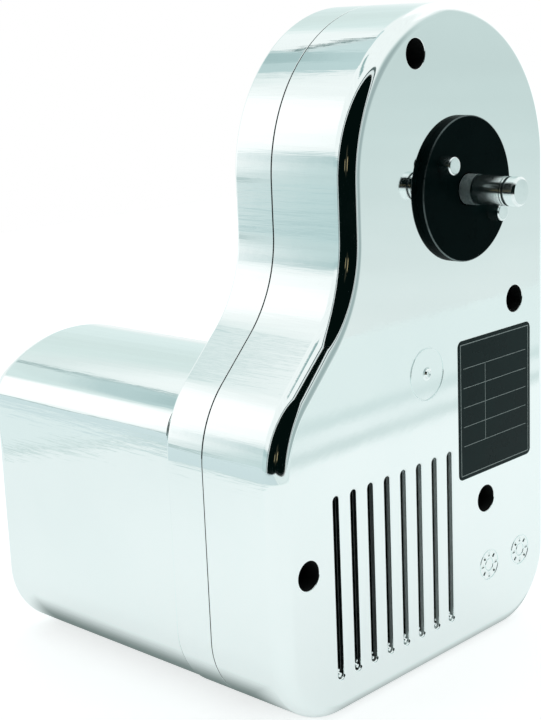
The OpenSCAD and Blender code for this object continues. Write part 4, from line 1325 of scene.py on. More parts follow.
    def front_half(self, shop: Workshop) -> None:
        """The front cover: rounded face, well tubes, slots, label recess and mould marks.

        Args:
            shop: where the piece is finished.
        """
        skin, loop, seam = Skin(), arcs_loop(self.arcs), self.seam_y - self.seam_gap
        inner, rim = FACE_Y + WALL, WALL + self.inner_round
        skin.sweep(loop, self.shell_edge(seam))
        skin.run(loop, [(-self.seam_round, seam, 0), (-WALL, seam, 0),
                        (-WALL, inner, self.inner_round), (-rim, inner, 0)], finish=1)
        pairs = [(loop.out(-self.face_inset), loop.out(-rim))]
        pairs += [self.well(skin, at, inner) for at in self.wells]
        bush, r, rise = turned(), self.bush_r, inner + self.bush_rise
        outer = r + self.bush_wall
        skin.run(bush, [(r, FACE_Y, 0), (r, rise, 0), (outer, rise, 0.3), (outer, inner, 0)],
                 -1, finish=1)
        pairs.append((bush.out(r), bush.out(outer)))
        for at in self.stud_places():
            hole = turned(at, 36)
            skin.run(hole, [(STUD_SHANK_R, FACE_Y, 0), (STUD_SHANK_R, inner, 0)], -1, finish=1)
            pairs.append((hole.out(STUD_SHANK_R), hole.out(STUD_SHANK_R)))
        pairs += [self.slot(skin, i, inner) for i in range(self.vent_count)]
        face = [front for front, _ in pairs] + [self.label_recess(skin)]
        face += self.groove(skin, self.gate_at, self.gate_r)
        nub = turned(self.gate_at, 36)
        skin.run(nub, [(r, FACE_Y + y, soft) for r, y, soft in self.nub], -1)
        face.append(nub.out(self.nub[0][0]))
        for at in self.dials:
            face += self.groove(skin, at, self.dial_r)
            face += self.groove(skin, at, self.dial_r * self.hub_share)
            face += self.ticks(skin, at)
        skin.sheet(face, FACE_Y, -1)
        skin.sheet([back for _, back in pairs], inner, 1, finish=1)
        root, (second, first) = inner - self.boss_root, self.front_rise
        boss(skin, self.second_at, *self.second_boss, root, inner + second)
        boss(skin, self.first_at, *self.first_boss, root, inner + first)
        p = shop.palette
        shop.finish_piece(skin, "gear_casing_front", "front_cover",
                          [p.chrome, p.raw, p.slot_painted_light])

    def rear_half(self, shop: Workshop) -> None:
        """The rear housing: short wall, rounded rear edge and the holes that the motor passes.

        Args:
            shop: where the piece is finished.
        """
        skin, loop, seam = Skin(), arcs_loop(self.arcs), self.seam_y + self.seam_gap
        cavity, rim, fillet = BACK_Y - WALL, WALL + self.inner_round, self.rear_fillet
        skin.run(loop, [(-self.seam_round, seam, 0), (0, seam, self.seam_round),
                        (0, BACK_Y, fillet), (-fillet, BACK_Y, 0)], steps=8)
        skin.run(loop, [(-rim, cavity, 0), (-WALL, cavity, self.inner_round), (-WALL, seam, 0),
                        (-self.seam_round, seam, 0)], finish=1)
        outer, root = -WALL - self.tongue_gap, seam + self.tongue_root
        tip = seam - self.tongue_h
        inner = outer - self.tongue_w
        skin.run(loop, [(outer, root, 0), (outer, tip, 0.2), (inner, tip, 0.2),
                        (inner, root, 0), (outer, root, 0)], -1, 2, finish=1)
        outside, inside = [loop.out(-fillet)], [loop.out(-rim)]
        holes = [(MOTOR_AT, self.motor_hole_r)]
        holes += [((MOTOR_AT[0] + x, MOTOR_AT[1] + z), self.bolt_r) for x, z in self.bolts]
        for at, radius in holes:
            hole = turned(at, 64)
            skin.run(hole, [(radius, cavity, 0), (radius, BACK_Y, 0)], -1, finish=1)
            outside.append(hole.out(radius))
            inside.append(hole.out(radius))
        skin.sheet(outside, BACK_Y, 1)
        skin.sheet(inside, cavity, -1, finish=1)
        floor = FACE_Y + self.well_depth + self.well_floor + self.well_gap
        root, (second, first), r = cavity + self.boss_root, self.rear_rise, self.bush_r
        for at in self.wells:
            boss(skin, at, *self.well_boss, floor, root)
        boss(skin, (0.0, 0.0), r + self.bush_wall, r, cavity - self.bush_rear_rise, root)
        boss(skin, self.second_at, *self.second_boss, cavity - second, root)
        boss(skin, self.first_at, *self.first_boss, cavity - first, root)
        p = shop.palette
        shop.finish_piece(skin, "gear_casing_rear", "rear_housing", [p.chrome, p.raw])


def boss(skin: Skin, at: Point2, outer: float, inner: float, y0: float, y1: float) -> None:
    """A tube along Y, as a closed turned path round its wall.

    Args:
        skin: where its faces go.
        at: its axis.
        outer: its outer radius.
        inner: its inner radius.
        y0: where it starts.
        y1: where it ends.
    """
    skin.run(turned(at, 48), [(outer, y0, 0), (outer, y1, 0), (inner, y1, 0), (inner, y0, 0),
                              (outer, y0, 0)], finish=1)


@dataclass
class MotorHood:
    """The chromed cover over the motor, with its outlet slots and rear openings."""

    base_z: float = -136.005
    width: float = 62.4
    joint: float = 0.5
    joint_w: float = 0.25
    roof_r: float = 46.0
    corner_r: float = 10.0
    base_r: float = 21.0
    rear_fillet: float = 5.0
    inner_round: float = 2.6
    slots: int = 7
    slot_w: float = 2.5
    slot_l: float = 32.0
    slot_corner: float = 0.4
    slot_lip: float = 0.25
    slot_plated: float = 1.1
    last_slot_y: float = 113.75
    slot_z: float = -93.405
    switch_opening: Point2 = (15.2, 23.02)
    inlet_opening: Point2 = (21.4, 11.8)

    def outline(self) -> Loop:
        """Right upper corner, roof, left upper corner and two base corners.

        The upper corners touch the roof's arc from inside, so their middles lie roof radius -
        corner radius from the motor's axis.

        Returns:
            The outline.
        """
        (mx, mz), r = MOTOR_AT, self.corner_r
        dx = self.width / 2 - r
        dz = math.sqrt((self.roof_r - r) ** 2 - dx * dx)
        lean = math.degrees(math.atan2(dz, dx))
        bx, bz = self.width / 2 - self.base_r, self.base_z + self.base_r
        return arcs_loop([
            (mx + dx, mz + dz, r, 0, lean, 20), (mx, mz, self.roof_r, lean, 180 - lean, 40),
            (mx - dx, mz + dz, r, 180 - lean, 180, 20), (mx - bx, bz, self.base_r, 180, 270, 40),
            (mx + bx, bz, self.base_r, 270, 360, 40),
        ])

    def outlets(self) -> list[Loop]:
        """The outlet slots, drawn in Y and Z, from the rear one forwards.

        Returns:
            The slots' outlines.
        """
        return [rounded_rectangle((self.last_slot_y - i * OUTLET_PITCH, self.slot_z),
                                  (self.slot_w, self.slot_l), self.slot_corner)
                for i in range(self.slots)]

    def build(self, shop: Workshop) -> None:
        """Outer and inner walls, the rear face and the slots' edges.

        The right side's flat stretch is left out of both walls and laid as a sheet in Y and Z,
        with the outlet slots cut out.

        Args:
            shop: where the piece is finished.
        """
        skin, loop, inner_y = Skin(), self.outline(), REAR_Y - WALL
        front, fillet, rim = BACK_Y + self.joint_w, self.rear_fillet, WALL + self.inner_round
        outer = rounded_path([
            (-WALL, BACK_Y, 0), (-self.joint, BACK_Y, 0), (-self.joint, front, 0),
            (0, front, 0.25), (0, REAR_Y, fillet), (-fillet, REAR_Y, 0)], steps=14)
        inner = rounded_path([(-rim, inner_y, 0), (-WALL, inner_y, self.inner_round),
                              (-WALL, BACK_Y, 0)])
        right, last = MOTOR_AT[0] + self.width / 2, len(loop.points) - 1
        z0, z1 = float(loop.points[-1, 1]), float(loop.points[0, 1])
        panels = []
        for finish, path in enumerate((outer, inner)):
            straight = int(np.argmax(np.abs(np.diff(path.points[:, 1]))))
            skin.sweep(loop, path, finish=finish, gap=(last, straight))
            panels.append(sorted(float(y) for y in path.points[straight:straight + 2, 1]))
        sides = ((right, self.slot_lip, 1), (right - WALL, 0.0, -1))
        for finish, ((y0, y1), (x, lip, look)) in enumerate(zip(panels, sides)):
            edge = np.array([[y0, z0], [y1, z0], [y1, z1], [y0, z1]])
            plane = Plane((x, 0, 0), (0, 1, 0), (0, 0, 1), (1, 0, 0))
            holes = [slot.out(lip) for slot in self.outlets()]
            skin.sheet([Loop(edge, np.zeros_like(edge)), *holes], 0.0, look, plane, finish)
        plane = Plane((right, 0, 0), (0, 1, 0), (0, 0, 1), (-1, 0, 0))
        lip, plated = self.slot_lip, self.slot_plated
        for slot in self.outlets():
            skin.run(slot, [(lip, 0, 0), (0, 0, lip), (0, plated, 0)], -1, 3, plane=plane)
            skin.run(slot, [(0, plated, 0), (0, WALL, 0)], -1, 3, 1, plane)
        openings = [rounded_rectangle(SWITCH_AT, self.switch_opening, 0.4),
                    round_slot(INLET_AT, self.inlet_opening[1], self.inlet_opening[0], False, 20)]
        for opening in openings:
            skin.run(opening, [(0, inner_y, 0), (0, REAR_Y, 0)], -1, finish=1)
        skin.sheet([loop.out(-fillet), *openings], REAR_Y, 1)
        skin.sheet([loop.out(-rim), *openings], inner_y, -1, finish=1)
        p = shop.palette
        shop.finish_piece(skin, "motor_hood", "motor_cover", [p.chrome, p.raw])


@dataclass
class LockingPlate:
    """The black disc on the casing's face with its two bright studs."""

    disc_r: float = 20.0
    rim: float = 1.0
    bore_r: float = 4.5
    bevel: float = 0.3
    stud_r: float = 2.5
    stud_step: float = 0.2
    stud_gap: float = 0.01
    hole_lip: float = 0.05
    shoulder_y: float = 0.3
    stud_h: float = 4.0
    rivet_r: float = 2.4
    rivet_h: float = 0.8

    def disc(self, shop: Workshop, studs: Sequence[Point2]) -> None:
        """The disc: its rim with a bevel in a lighter finish that paints a highlight, its bore and
        its stepped stud holes.

        Args:
            shop: where the piece is finished.
            studs: the studs' places.
        """
        skin, ring, back = Skin(), turned(steps=160), FACE_Y
        r, rim, b, bore = self.disc_r, self.disc_r - self.rim, self.bevel, self.bore_r
        skin.run(ring, [(rim, 0, 0), (r - b, 0, 0)])
        # The front bevel takes the lighter finish: a painted highlight line.
        skin.run(ring, [(r - b, 0, 0), (r, 0, b * 0.99), (r, b, 0)], steps=4, finish=1)
        skin.run(ring, [(r, b, 0), (r, back, 0.1), (rim, back, 0)], steps=4)
        skin.run(ring, [(bore + 1, 0, 0), (bore, 0, 0.2), (bore, back, 0), (bore + 1, back, 0)],
                 -1, 4)
        edges = [(ring.out(radius), ring.out(radius)) for radius in (rim, bore + 1)]
        hole_r = self.stud_r + self.stud_gap
        wide, lip, step = hole_r + self.stud_step, hole_r + self.hole_lip, self.shoulder_y
        for at in studs:
            hole = turned(at, 64)
            skin.run(hole, [(lip, 0, 0), (hole_r, 0, 0.04), (hole_r, step, 0), (wide, step, 0),
                            (wide, back, 0)], -1, 2)
            edges.append((hole.out(lip), hole.out(wide)))
        skin.sheet([front for front, _ in edges], 0.0, -1)
        skin.sheet([rear for _, rear in edges], back, 1)
        p = shop.palette
        shop.finish_piece(skin, "locking_plate", "locking_disc", [p.satin_black, p.bevel_highlight])

    def studs(self, shop: Workshop, studs: Sequence[Point2]) -> None:
        """Both studs, each turned from its head over the hidden shoulder to its rivet.

        Args:
            shop: where the piece is finished.
            studs: their places.
        """
        skin, r, wide = Skin(), self.stud_r, self.stud_r + self.stud_step
        top, step, inner = -self.stud_h, self.shoulder_y + self.stud_gap, FACE_Y + WALL
        shank, rivet, end = STUD_SHANK_R, self.rivet_r, inner + self.rivet_h
        for at in studs:
            skin.run(turned(at, 64), [
                (0, top, 0), (r, top, 0.5), (r, step, 0), (wide, step, 0.05), (wide, FACE_Y, 0),
                (shank, FACE_Y, 0), (shank, inner, 0), (rivet, inner, 0), (rivet, end, 0.3),
                (0, end, 0)], steps=6)
        shop.finish_piece(skin, "locking_stud_pair", "locking_studs", [shop.palette.bright_steel])


@dataclass
class DriveShaft:
    """The output shaft, turned with a chamfered tip, a ring groove and a bearing shoulder."""

    radius: float = 4.0
    reach: float = 17.4
    chamfer: float = 0.66
    groove_back: float = 3.6
    groove_w: float = 0.9
    groove_depth: float = 0.5
    line_gap: float = 0.55
    line_w: float = 0.24
    line_depth: float = 0.15
    relief_w: float = 0.45
    relief_depth: float = 0.12
    bearing_r: float = 4.2
    shoulder: float = 3.6
    end_y: float = 41.75
    ring_y: float = 6.75
    ring_w: float = 0.8
    ring_depth: float = 0.6

    def build(self, shop: Workshop) -> None:
        """One turned path from the tip's middle to the inner end's middle.

        It is laid in stretches, each of one finish: 0 bright, 1 darker steel as painted shade in
        the grooves and on the shoulder, 2 collar.

        Args:
            shop: where the piece is finished.
        """
        tip, r, b, end = -self.reach, self.radius, self.bearing_r, self.end_y
        g0 = tip + self.groove_back - self.groove_w / 2
        g1, low = g0 + self.groove_w, r - self.groove_depth
        line = g1 + self.line_gap
        line_middle, line_end = line + self.line_w / 2, line + self.line_w
        relief, waist, step = -self.shoulder - self.relief_w, r - self.relief_depth, -self.shoulder
        ring, ring_end, ring_r = self.ring_y, self.ring_y + self.ring_w, b - self.ring_depth
        # Finish 1 paints shade in the grooves and on the shoulder.
        stretches = [
            (0, [(0, tip, 0), (r - self.chamfer, tip, 0.12), (r, tip + self.chamfer, 0.12),
                 (r, g0, 0)]),
            (1, [(r, g0, 0), (low, g0 + 0.1, 0.06)]),
            (0, [(low, g0 + 0.1, 0), (low, g1 - 0.1, 0)]),
            (1, [(low, g1 - 0.1, 0), (r, g1, 0)]),
            (0, [(r, g1, 0), (r, line, 0)]),
            (1, [(r, line, 0), (r - self.line_depth, line_middle, 0.02), (r, line_end, 0)]),
            (0, [(r, line_end, 0), (r, relief, 0)]),
            (1, [(r, relief, 0), (waist, relief + 0.08, 0.02), (waist, step, 0), (b, step, 0)]),
            (2, [(b, step, 0), (b, 0, 0)]),
            (0, [(b, 0, 0), (b, ring, 0), (ring_r, ring, 0), (ring_r, ring_end, 0),
                 (b, ring_end, 0), (b, end, 0.3), (0, end, 0)]),
        ]
        skin = Skin()
        for finish, corners in stretches:
            skin.run(turned(steps=128), corners, steps=4, finish=finish)
        p = shop.palette
        shop.finish_piece(skin, "drive_shaft", "output_shaft",
                          [p.bright_steel, p.groove_shade_steel, p.collar_steel], body="output")


@dataclass
class RatingPlate:
    """The blank dark plate in its recess."""

    front_y: float = 2.05
    thick: float = 0.4
    edge: float = 0.2

    def build(self, shop: Workshop) -> None:
        """Front, rounded edge and back.

        Args:
            shop: where the piece is finished.
        """
        skin, loop, e = Skin(), rounded_rectangle(LABEL_AT, LABEL_SIZE, LABEL_R, 10), self.edge
        y0, y1 = self.front_y, self.front_y + self.thick
        skin.run(loop, [(-e, y0, 0), (0, y0, 0.12), (0, y1, 0), (-e, y1, 0)], steps=3)
        skin.sheet([loop.out(-e)], y0, -1)
        skin.sheet([loop.out(-e)], y1, 1)
        shop.finish_piece(skin, "rating_plate", "label_plate", [shop.palette.plate])


@dataclass
class RearPanel:
    """The rocker switch and the mains inlet in the hood's rear face."""

    flange: float = 1.4
    rim: float = 2.2
    wall: float = 1.5
    opening: Point2 = (12.2, 20.02)
    pocket_lip: float = 0.35
    bezel_round: float = 0.7
    box_round: float = 0.4
    switch_back_y: float = 108.75
    pocket_y: float = 114.95
    pivot_y: float = 119.55
    key: Point2 = (11.4, 17.4)
    key_thick: float = 2.4
    key_rise: float = 3.6
    key_inset: float = 0.8
    tilt: float = 10.0
    mark_up: float = 0.29
    mark_depth: float = 0.15
    mark_lip: float = 0.06
    line: Point2 = (0.7, 3.2)
    ring_r: float = 1.75
    ring_inner: float = 1.05
    axle_half: float = 7.1
    axle_r: float = 1.1
    hub_r: float = 2.6
    neck_h: float = 4.16
    socket: Point2 = (18.4, 8.8)
    socket_y: float = 110.75
    socket_inset: float = 0.6
    inlet_end_y: float = 109.25
    inlet_inset: float = 0.5
    pin_pitch: float = 8.6
    pin_r: float = 1.2
    pin_ends: Point2 = (106.25, 120.75)

    def switch_frame(self, shop: Workshop) -> None:
        """Bezel, pocket and box of the switch.

        Args:
            shop: where the piece is finished.
        """
        skin, out, back = Skin(), REAR_Y + self.flange, self.switch_back_y
        (w, h), lip, edge, low = self.opening, self.pocket_lip, self.bezel_round, self.box_round
        around, beyond = 2 * self.wall, 2 * (self.wall + self.rim)
        pocket = rounded_rectangle(SWITCH_AT, (w, h), 0.3)
        bezel = rounded_rectangle(SWITCH_AT, (w + beyond, h + beyond), 1.2, 6)
        box = rounded_rectangle(SWITCH_AT, (w + around, h + around), 0.4)
        skin.sheet([pocket], self.pocket_y, 1)
        skin.run(pocket, [(0, self.pocket_y, 0), (0, out, lip), (lip, out, 0)], steps=4)
        skin.sheet([pocket.out(lip), bezel.out(-edge)], out, 1)
        skin.run(bezel, [(-edge, out, 0), (0, out, edge), (0, REAR_Y, 0)], -1)
        skin.sheet([bezel, box], REAR_Y, -1)
        skin.run(box, [(0, REAR_Y, 0), (0, back, low), (-low, back, 0)], -1, 3)
        skin.sheet([box.out(-low)], back, -1)
        shop.finish_piece(skin, "switch_frame", "switch_body", [shop.palette.black_nylon])

    def rocker_key(self, shop: Workshop) -> None:
        """The tilted key: a rounded plate with a line and a ring sunk in it, on its hub.

        Args:
            shop: where the piece is finished.
        """
        a, pivot = math.radians(-self.tilt), (SWITCH_AT[0], self.pivot_y, SWITCH_AT[1])
        cos, sin = math.cos(a), math.sin(a)
        plane = Plane(pivot, (1, 0, 0), (0.0, -sin, cos), (0.0, cos, sin))
        (w, h), low, top = self.key, self.key_rise, self.key_rise + self.key_thick
        floor, inset, lip = top - self.mark_depth, self.key_inset, self.mark_lip
        skin, loop = Skin(), rounded_rectangle((0, 0), (w, h), 0.7, 5)
        skin.run(loop, [(-inset, low, 0), (0, low, 0.2), (0, top, 0.7), (-inset, top, 0)],
                 plane=plane)
        line = rounded_rectangle((0, h * self.mark_up), self.line, 0.3)
        ring = turned((0, -h * self.mark_up), 48)
        skin.run(line, [(lip, top, 0), (0, top, 0.05), (0, floor, 0)], 1, 2, plane=plane)
        skin.sheet([line], floor, 1, plane, 1)
        outer, inner = self.ring_r, self.ring_inner
        skin.run(ring, [(outer, top, 0), (outer - 0.05, floor, 0), (inner + 0.05, floor, 0),
                        (inner, top, 0)], 1, 2, 1, plane)
        skin.sheet([loop.out(-inset), line.out(lip), ring.out(outer), ring.out(inner)],
                   top, 1, plane)
        skin.sheet([loop.out(-inset)], low, -1, plane)
        axle = Plane(pivot, (0, 1, 0), (0, 0, 1), (1, 0, 0))
        half, r, hub = self.axle_half, self.axle_r, self.hub_r
        skin.run(turned((0, 0), 48), [
            (0, -half, 0), (r, -half, 0.1), (r, -w / 2, 0), (hub, -w / 2, 0.2),
            (hub, w / 2, 0.2), (r, w / 2, 0), (r, half, 0.1), (0, half, 0)], 1, 2, plane=axle)
        neck, sunk = rounded_rectangle((0, 0), (w - 0.1, self.neck_h), 0.2, 2), low + 0.2
        skin.run(neck, [(0, 0, 0), (0, sunk, 0)], plane=plane)
        skin.sheet([neck], 0.0, -1, plane)
        skin.sheet([neck], sunk, 1, plane)
        p = shop.palette
        shop.finish_piece(skin, "rocker_key", "switch_rocker", [p.rocker_black, p.mark_white],
                          body="rocker")

    def inlet(self, shop: Workshop) -> None:
        """The two-pin inlet: socket with round ends, flange, box and pins.

        Args:
            shop: where the pieces are finished.
        """
        skin, out, wall, end = Skin(), REAR_Y + self.flange, self.wall, self.inlet_end_y
        socket = round_slot(INLET_AT, self.socket[1], self.socket[0], False, 20)
        edge, inset, back = wall + self.rim, self.socket_inset, wall - self.inlet_inset
        skin.sheet([socket.out(-inset)], self.socket_y, 1)
        skin.run(socket, [
            (-inset, self.socket_y, 0), (0, self.socket_y, 0.3), (0, out, 0.4), (edge, out, 0.7),
            (edge, REAR_Y, 0), (wall, REAR_Y, 0), (wall, end, 0.4), (back, end, 0)], -1)
        skin.sheet([socket.out(back)], end, -1)
        shop.finish_piece(skin, "mains_inlet", "power_inlet", [shop.palette.black_nylon])
        pins, r, (start, tip) = Skin(), self.pin_r, self.pin_ends
        for side in (-0.5, 0.5):
            at = (INLET_AT[0] + side * self.pin_pitch, INLET_AT[1])
            pins.run(turned(at, 40), [(0, start, 0), (r, start, 0.2), (r, tip, 0.8), (0, tip, 0)],
                     steps=6)
        shop.finish_piece(pins, "mains_pins", "inlet_pins", [shop.palette.zinc])


class InnerWorks:
    """The finishes of the CAD nodes that stay: gears, motor, screws and wiring."""

    @staticmethod
    def dress(shop: Workshop) -> None:
        """Gives every kept node its finish.

        Args:
            shop: where the nodes are dressed.
        """
        p = shop.palette
        wear = {
            p.zinc: ("casing_screws", "cover_screws", "motor_bolts", "front_bracket",
                     "rear_bracket", "retaining_ring"),
            p.bronze: ("output_bush_front", "output_bush_rear"),
            p.motor_bronze: ("motor_bearing_front", "motor_bearing_rear"),
            p.motor_steel: ("second_axle", "first_axle", "armature_shaft"),
            p.acetal: ("output_gear", "second_gear", "first_gear"),
            p.brass: ("motor_pinion",),
            p.laminations: ("armature_core", "stator_core"),
            p.copper_wire: ("armature_winding", "field_coils"),
            p.commutator: ("commutator",),
            p.black_nylon: ("cooling_fan",),
            p.phenolic: ("brush_holders",),
            p.carbon: ("carbon_brushes",),
            p.spring: ("brush_springs",),
            p.holder: ("fuse_holder",),
            p.fuse: ("fuse",),
            p.insulation: ("switch_leads",),
        }
        for finish, nodes in wear.items():
            for node in nodes:
                shop.dress(node, finish)


# ---------------------------------------------------------------- studio


@dataclass(frozen=True)
class Panel:
    """One soft panel of the studio: where it is, in degrees, and its colour."""

    name: str
    azimuth: float
    half_width: float
    elevation: float
    half_height: float
    softness: float
    colour: Colour


@dataclass(frozen=True)
class FloorZone:
    """A zone of the floor in reflections.

    It lies past all its sides, each (x, y, edge), and clear of the unit's corner.
    """

    name: str
    sides: tuple[Point3, ...]
    softness: float
    colour: Colour
    clear: float = 0.0


@dataclass(frozen=True)
class Studio:
    """Pale floor, pale surroundings and the camera."""

    floor_z: float = -136.03
    floor: tuple[float, float, float, float] = (-620.0, -312.0, 900.0, 900.0)
    camera_at: Point3 = (-324.246, -235.118, 45.439)
    camera_right: Point3 = (0.687161, -0.725321, -0.041472)
    camera_up: Point3 = (0.190509, 0.124811, 0.973719)
    lens: float = 72.378
    sensor: float = 36.0
    clip: Point2 = (0.01, 20.0)
    near_tint: Colour = (1.03, 1.08, 1.08)
    matt_share: float = 0.45
    floor_zones: tuple[FloorZone, ...] = (
        FloorZone("back_part", ((0.0, 1.0, 150.0),), 90.0, (0.94, 1.0, 1.0)),
        FloorZone("diagonal_line", ((-0.631, 0.776, 343.0),), 4.0, (0.66, 0.78, 0.77)),
        FloorZone("left_strip", ((-0.631, 0.776, 353.0),), 4.0, (0.86, 0.95, 0.95)),
        FloorZone("left_line", ((-1.0, 0.0, 240.0), (0.0, -1.0, -247.0)),
                  3.0, (0.62, 0.75, 0.745), 228.0),
        FloorZone("left_far", ((-1.0, 0.0, 247.0),), 3.0, (0.70, 0.82, 0.84), 234.0),
        FloorZone("front_line", ((0.0, -1.0, 160.0),), 6.0, (0.74, 0.84, 0.835), 228.0),
        FloorZone("front_gap", ((0.0, -1.0, 173.0),), 5.0, (0.94, 1.01, 1.01), 231.0),
        FloorZone("front_second", ((0.0, -1.0, 190.0),), 6.0, (0.74, 0.85, 0.845), 234.0),
        FloorZone("front_strip", ((0.0, -1.0, 205.0),), 8.0, (0.87, 0.96, 0.955), 240.0),
        # Painted contact shadow under the hood, seen in reflections of the floor but not by the
        # camera.
        FloorZone("painted_contact_shadow", ((1.0, 0.0, -75.0), (0.0, 1.0, 3.0), (-1.0, 0.0, -40.0),
                                 (0.0, -1.0, -122.0), (0.707, 0.707, -36.0)),
                  8.0, (0.28, 0.34, 0.33)),
    )
    corner_at: Point2 = (-78.0, 0.0)
    floor_rough: float = 0.8
    seen_base: Colour = (0.55, 0.58, 0.58)
    seen_glow: float = 0.7
    mirrored_glow: float = 0.55
    white: Colour = (1.0, 1.0, 1.0)
    base: Colour = (0.93, 0.97, 0.965)
    panels: tuple[Panel, ...] = (
        Panel("right_white", 2.0, 37.0, 25.0, 33.0, 5.0, (1.12, 1.12, 1.12)),
        Panel("front_teal", -48.0, 34.0, 15.0, 26.0, 9.0, (0.60, 0.71, 0.70)),
        Panel("front_edge", -66.0, 14.0, 8.0, 26.0, 9.0, (0.36, 0.45, 0.45)),
        Panel("rear_pale", 50.0, 12.0, 24.0, 21.0, 5.0, (0.75, 0.87, 0.86)),
        Panel("hood_top", 64.0, 20.0, 30.0, 8.0, 5.0, (0.70, 0.815, 0.80)),
        Panel("hood_turn", 97.0, 14.0, 37.0, 6.0, 5.0, (0.69, 0.81, 0.80)),
        Panel("hood_crease", 84.2, 0.9, 41.0, 5.5, 1.0, (0.36, 0.48, 0.48)),
        Panel("head_teal", 94.8, 10.4, 47.0, 7.0, 1.5, (0.52, 0.665, 0.67)),
        Panel("head_shade", 91.0, 5.0, 46.0, 2.6, 2.0, (0.40, 0.545, 0.55)),
        Panel("head_wedge", 74.0, 11.5, 51.6, 4.0, 0.8, (0.60, 0.735, 0.74)),
        Panel("head_line", 74.0, 10.5, 47.3, 0.22, 0.3, (0.10, 0.19, 0.19)),
        Panel("shoulder_band", 107.7, 0.2, 43.5, 4.0, 1.3, (0.58, 0.70, 0.70)),
        Panel("top_streak", 135.0, 26.0, 64.0, 3.0, 2.0, (0.30, 0.44, 0.44)),
        Panel("left_teal", 163.0, 28.0, -2.0, 12.5, 4.0, (0.56, 0.70, 0.70)),
        Panel("left_band", 152.0, 20.0, 8.0, 2.0, 3.0, (0.42, 0.57, 0.575)),
        Panel("left_horizon", 150.0, 24.0, -9.0, 1.5, 3.0, (0.46, 0.62, 0.63)),
        Panel("left_white", 122.0, 13.0, 18.0, 18.0, 5.0, (1.15, 1.15, 1.15)),
        Panel("hood_horizon", 128.0, 8.0, -4.2, 1.0, 1.0, (0.46, 0.58, 0.58)),
    )
    streaks: float = 0.10
    streak_across: float = 0.035
    streak_up: float = 0.35
    dark: Colour = (0.001, 0.004, 0.0035)
    dark_azimuth: float = -141.5
    dark_half: float = 52.0
    dark_stretch: float = 0.78
    dark_edge: Point2 = (-1.0, 0.6)
    dark_low: float = -12.5
    dark_low_soft: float = 1.5
    rim_edge: Point2 = (0.6, 1.4)
    dark_rims: tuple[tuple[float, float, Colour], ...] = (
        (56.0, 1.3, (0.08, 0.12, 0.12)), (53.5, 1.0, (0.75, 0.82, 0.82)))
    glints: tuple[Panel, ...] = (
        Panel("faint_glint", -153.0, 2.6, 9.0, 7.8, 2.6, (0.035, 0.036, 0.024)),
        Panel("warm_glint", -147.0, 1.2, 7.0, 3.6, 1.2, (0.55, 0.45, 0.25)),
        Panel("outer_glint", -160.0, 1.0, 7.0, 3.0, 1.0, (0.45, 0.38, 0.22)),
    )

    def place_camera(self) -> None:
        """The camera's axes are its columns: right, up and back, with back = right x up."""
        data = bpy.data.cameras.new("view")
        data.sensor_fit, data.sensor_height, data.lens = "VERTICAL", self.sensor, self.lens
        data.clip_start, data.clip_end = self.clip
        turn = np.eye(4)
        turn[:3, 0], turn[:3, 1] = self.camera_right, self.camera_up
        turn[:3, 2] = np.cross(self.camera_right, self.camera_up)
        turn[:3, 3] = np.array(self.camera_at) * MM
        camera = bpy.data.objects.new("view", data)
        camera.matrix_world = Matrix(turn.tolist())
        bpy.context.scene.collection.objects.link(camera)
        bpy.context.scene.camera = camera

    def zone_share(self, recipe: Recipe, zone: FloorZone) -> Socket:
        """How far a place is inside a zone, from 0 to 1 over its soft edge.

        Inside = the least of place . side - edge over the sides, and of the distance from the
        unit's corner - clear.

        Args:
            recipe: the floor's material.
            zone: the zone.

        Returns:
            The share.
        """
        past = []
        for x, y, edge in zone.sides:
            dot = recipe.vector("DOT_PRODUCT", recipe.place, (x, y, 0.0), output="Value")
            past.append(recipe.math("SUBTRACT", dot, edge * MM))
        if zone.clear:
            corner = tuple(c * MM for c in (*self.corner_at, self.floor_z))
            away = recipe.vector("DISTANCE", recipe.place, corner, output="Value")
            past.append(recipe.math("SUBTRACT", away, zone.clear * MM))
        inside = past[0]
        for other in past[1:]:
            inside = recipe.math("MINIMUM", inside, other)
        share = recipe.ramp(inside, -zone.softness * MM, zone.softness * MM)
        share.node.label = zone.name
        return share

    def lay_floor(self) -> None:
        """A pale sheet under the unit that looks white to the camera but keeps the shadow."""
        (x0, y0, x1, y1), z = self.floor, self.floor_z
        skin, corners = Skin(), np.array([[[x0, y0, z], [x1, y0, z], [x1, y1, z], [x0, y1, z]]])
        skin.faces(corners, np.broadcast_to(np.array([0.0, 0.0, 1.0]), corners.shape).copy(), 0)
        recipe, tint = Recipe("pale_floor"), self.near_tint
        for zone in self.floor_zones:
            tint = recipe.mix(self.zone_share(recipe, zone), tint, zone.colour)
        path = recipe.node("LightPath").outputs
        seen = path["Is Camera Ray"]
        mirrored = recipe.math("MAXIMUM", path["Is Glossy Ray"], path["Is Transmission Ray"])
        glow = recipe.math("MULTIPLY", mirrored, self.mirrored_glow)
        recipe.shade({
            "Base Color": recipe.mix(seen, recipe.scale(tint, self.matt_share), self.seen_base),
            "Roughness": self.floor_rough,
            "Emission Color": recipe.mix(seen, tint, self.white),
            "Emission Strength": recipe.math("MULTIPLY_ADD", seen, self.seen_glow, glow)})
        skin.build("studio_floor", [recipe.material])

    @staticmethod
    def hang(sky: Wiring, effects: Effects, where: dict[str, Socket], colour: object,
             panels: Sequence[Panel]) -> Socket:
        """Lays panels over a colour in order, each by its soft-edged mask.

        Args:
            sky: the surroundings' tree.
            effects: the shared effects.
            where: azimuth and elevation of the direction.
            colour: the colour below.
            panels: the panels.

        Returns:
            The colour with the panels.
        """
        for panel in panels:
            mask = sky.effect(effects.panel, {
                **where, "Middle Azimuth": panel.azimuth, "Half Width": panel.half_width,
                "Middle Elevation": panel.elevation, "Half Height": panel.half_height,
                "Softness": panel.softness})["Mask"]
            mask.node.label = panel.name
            colour = sky.mix(mask, colour, panel.colour)
        return colour

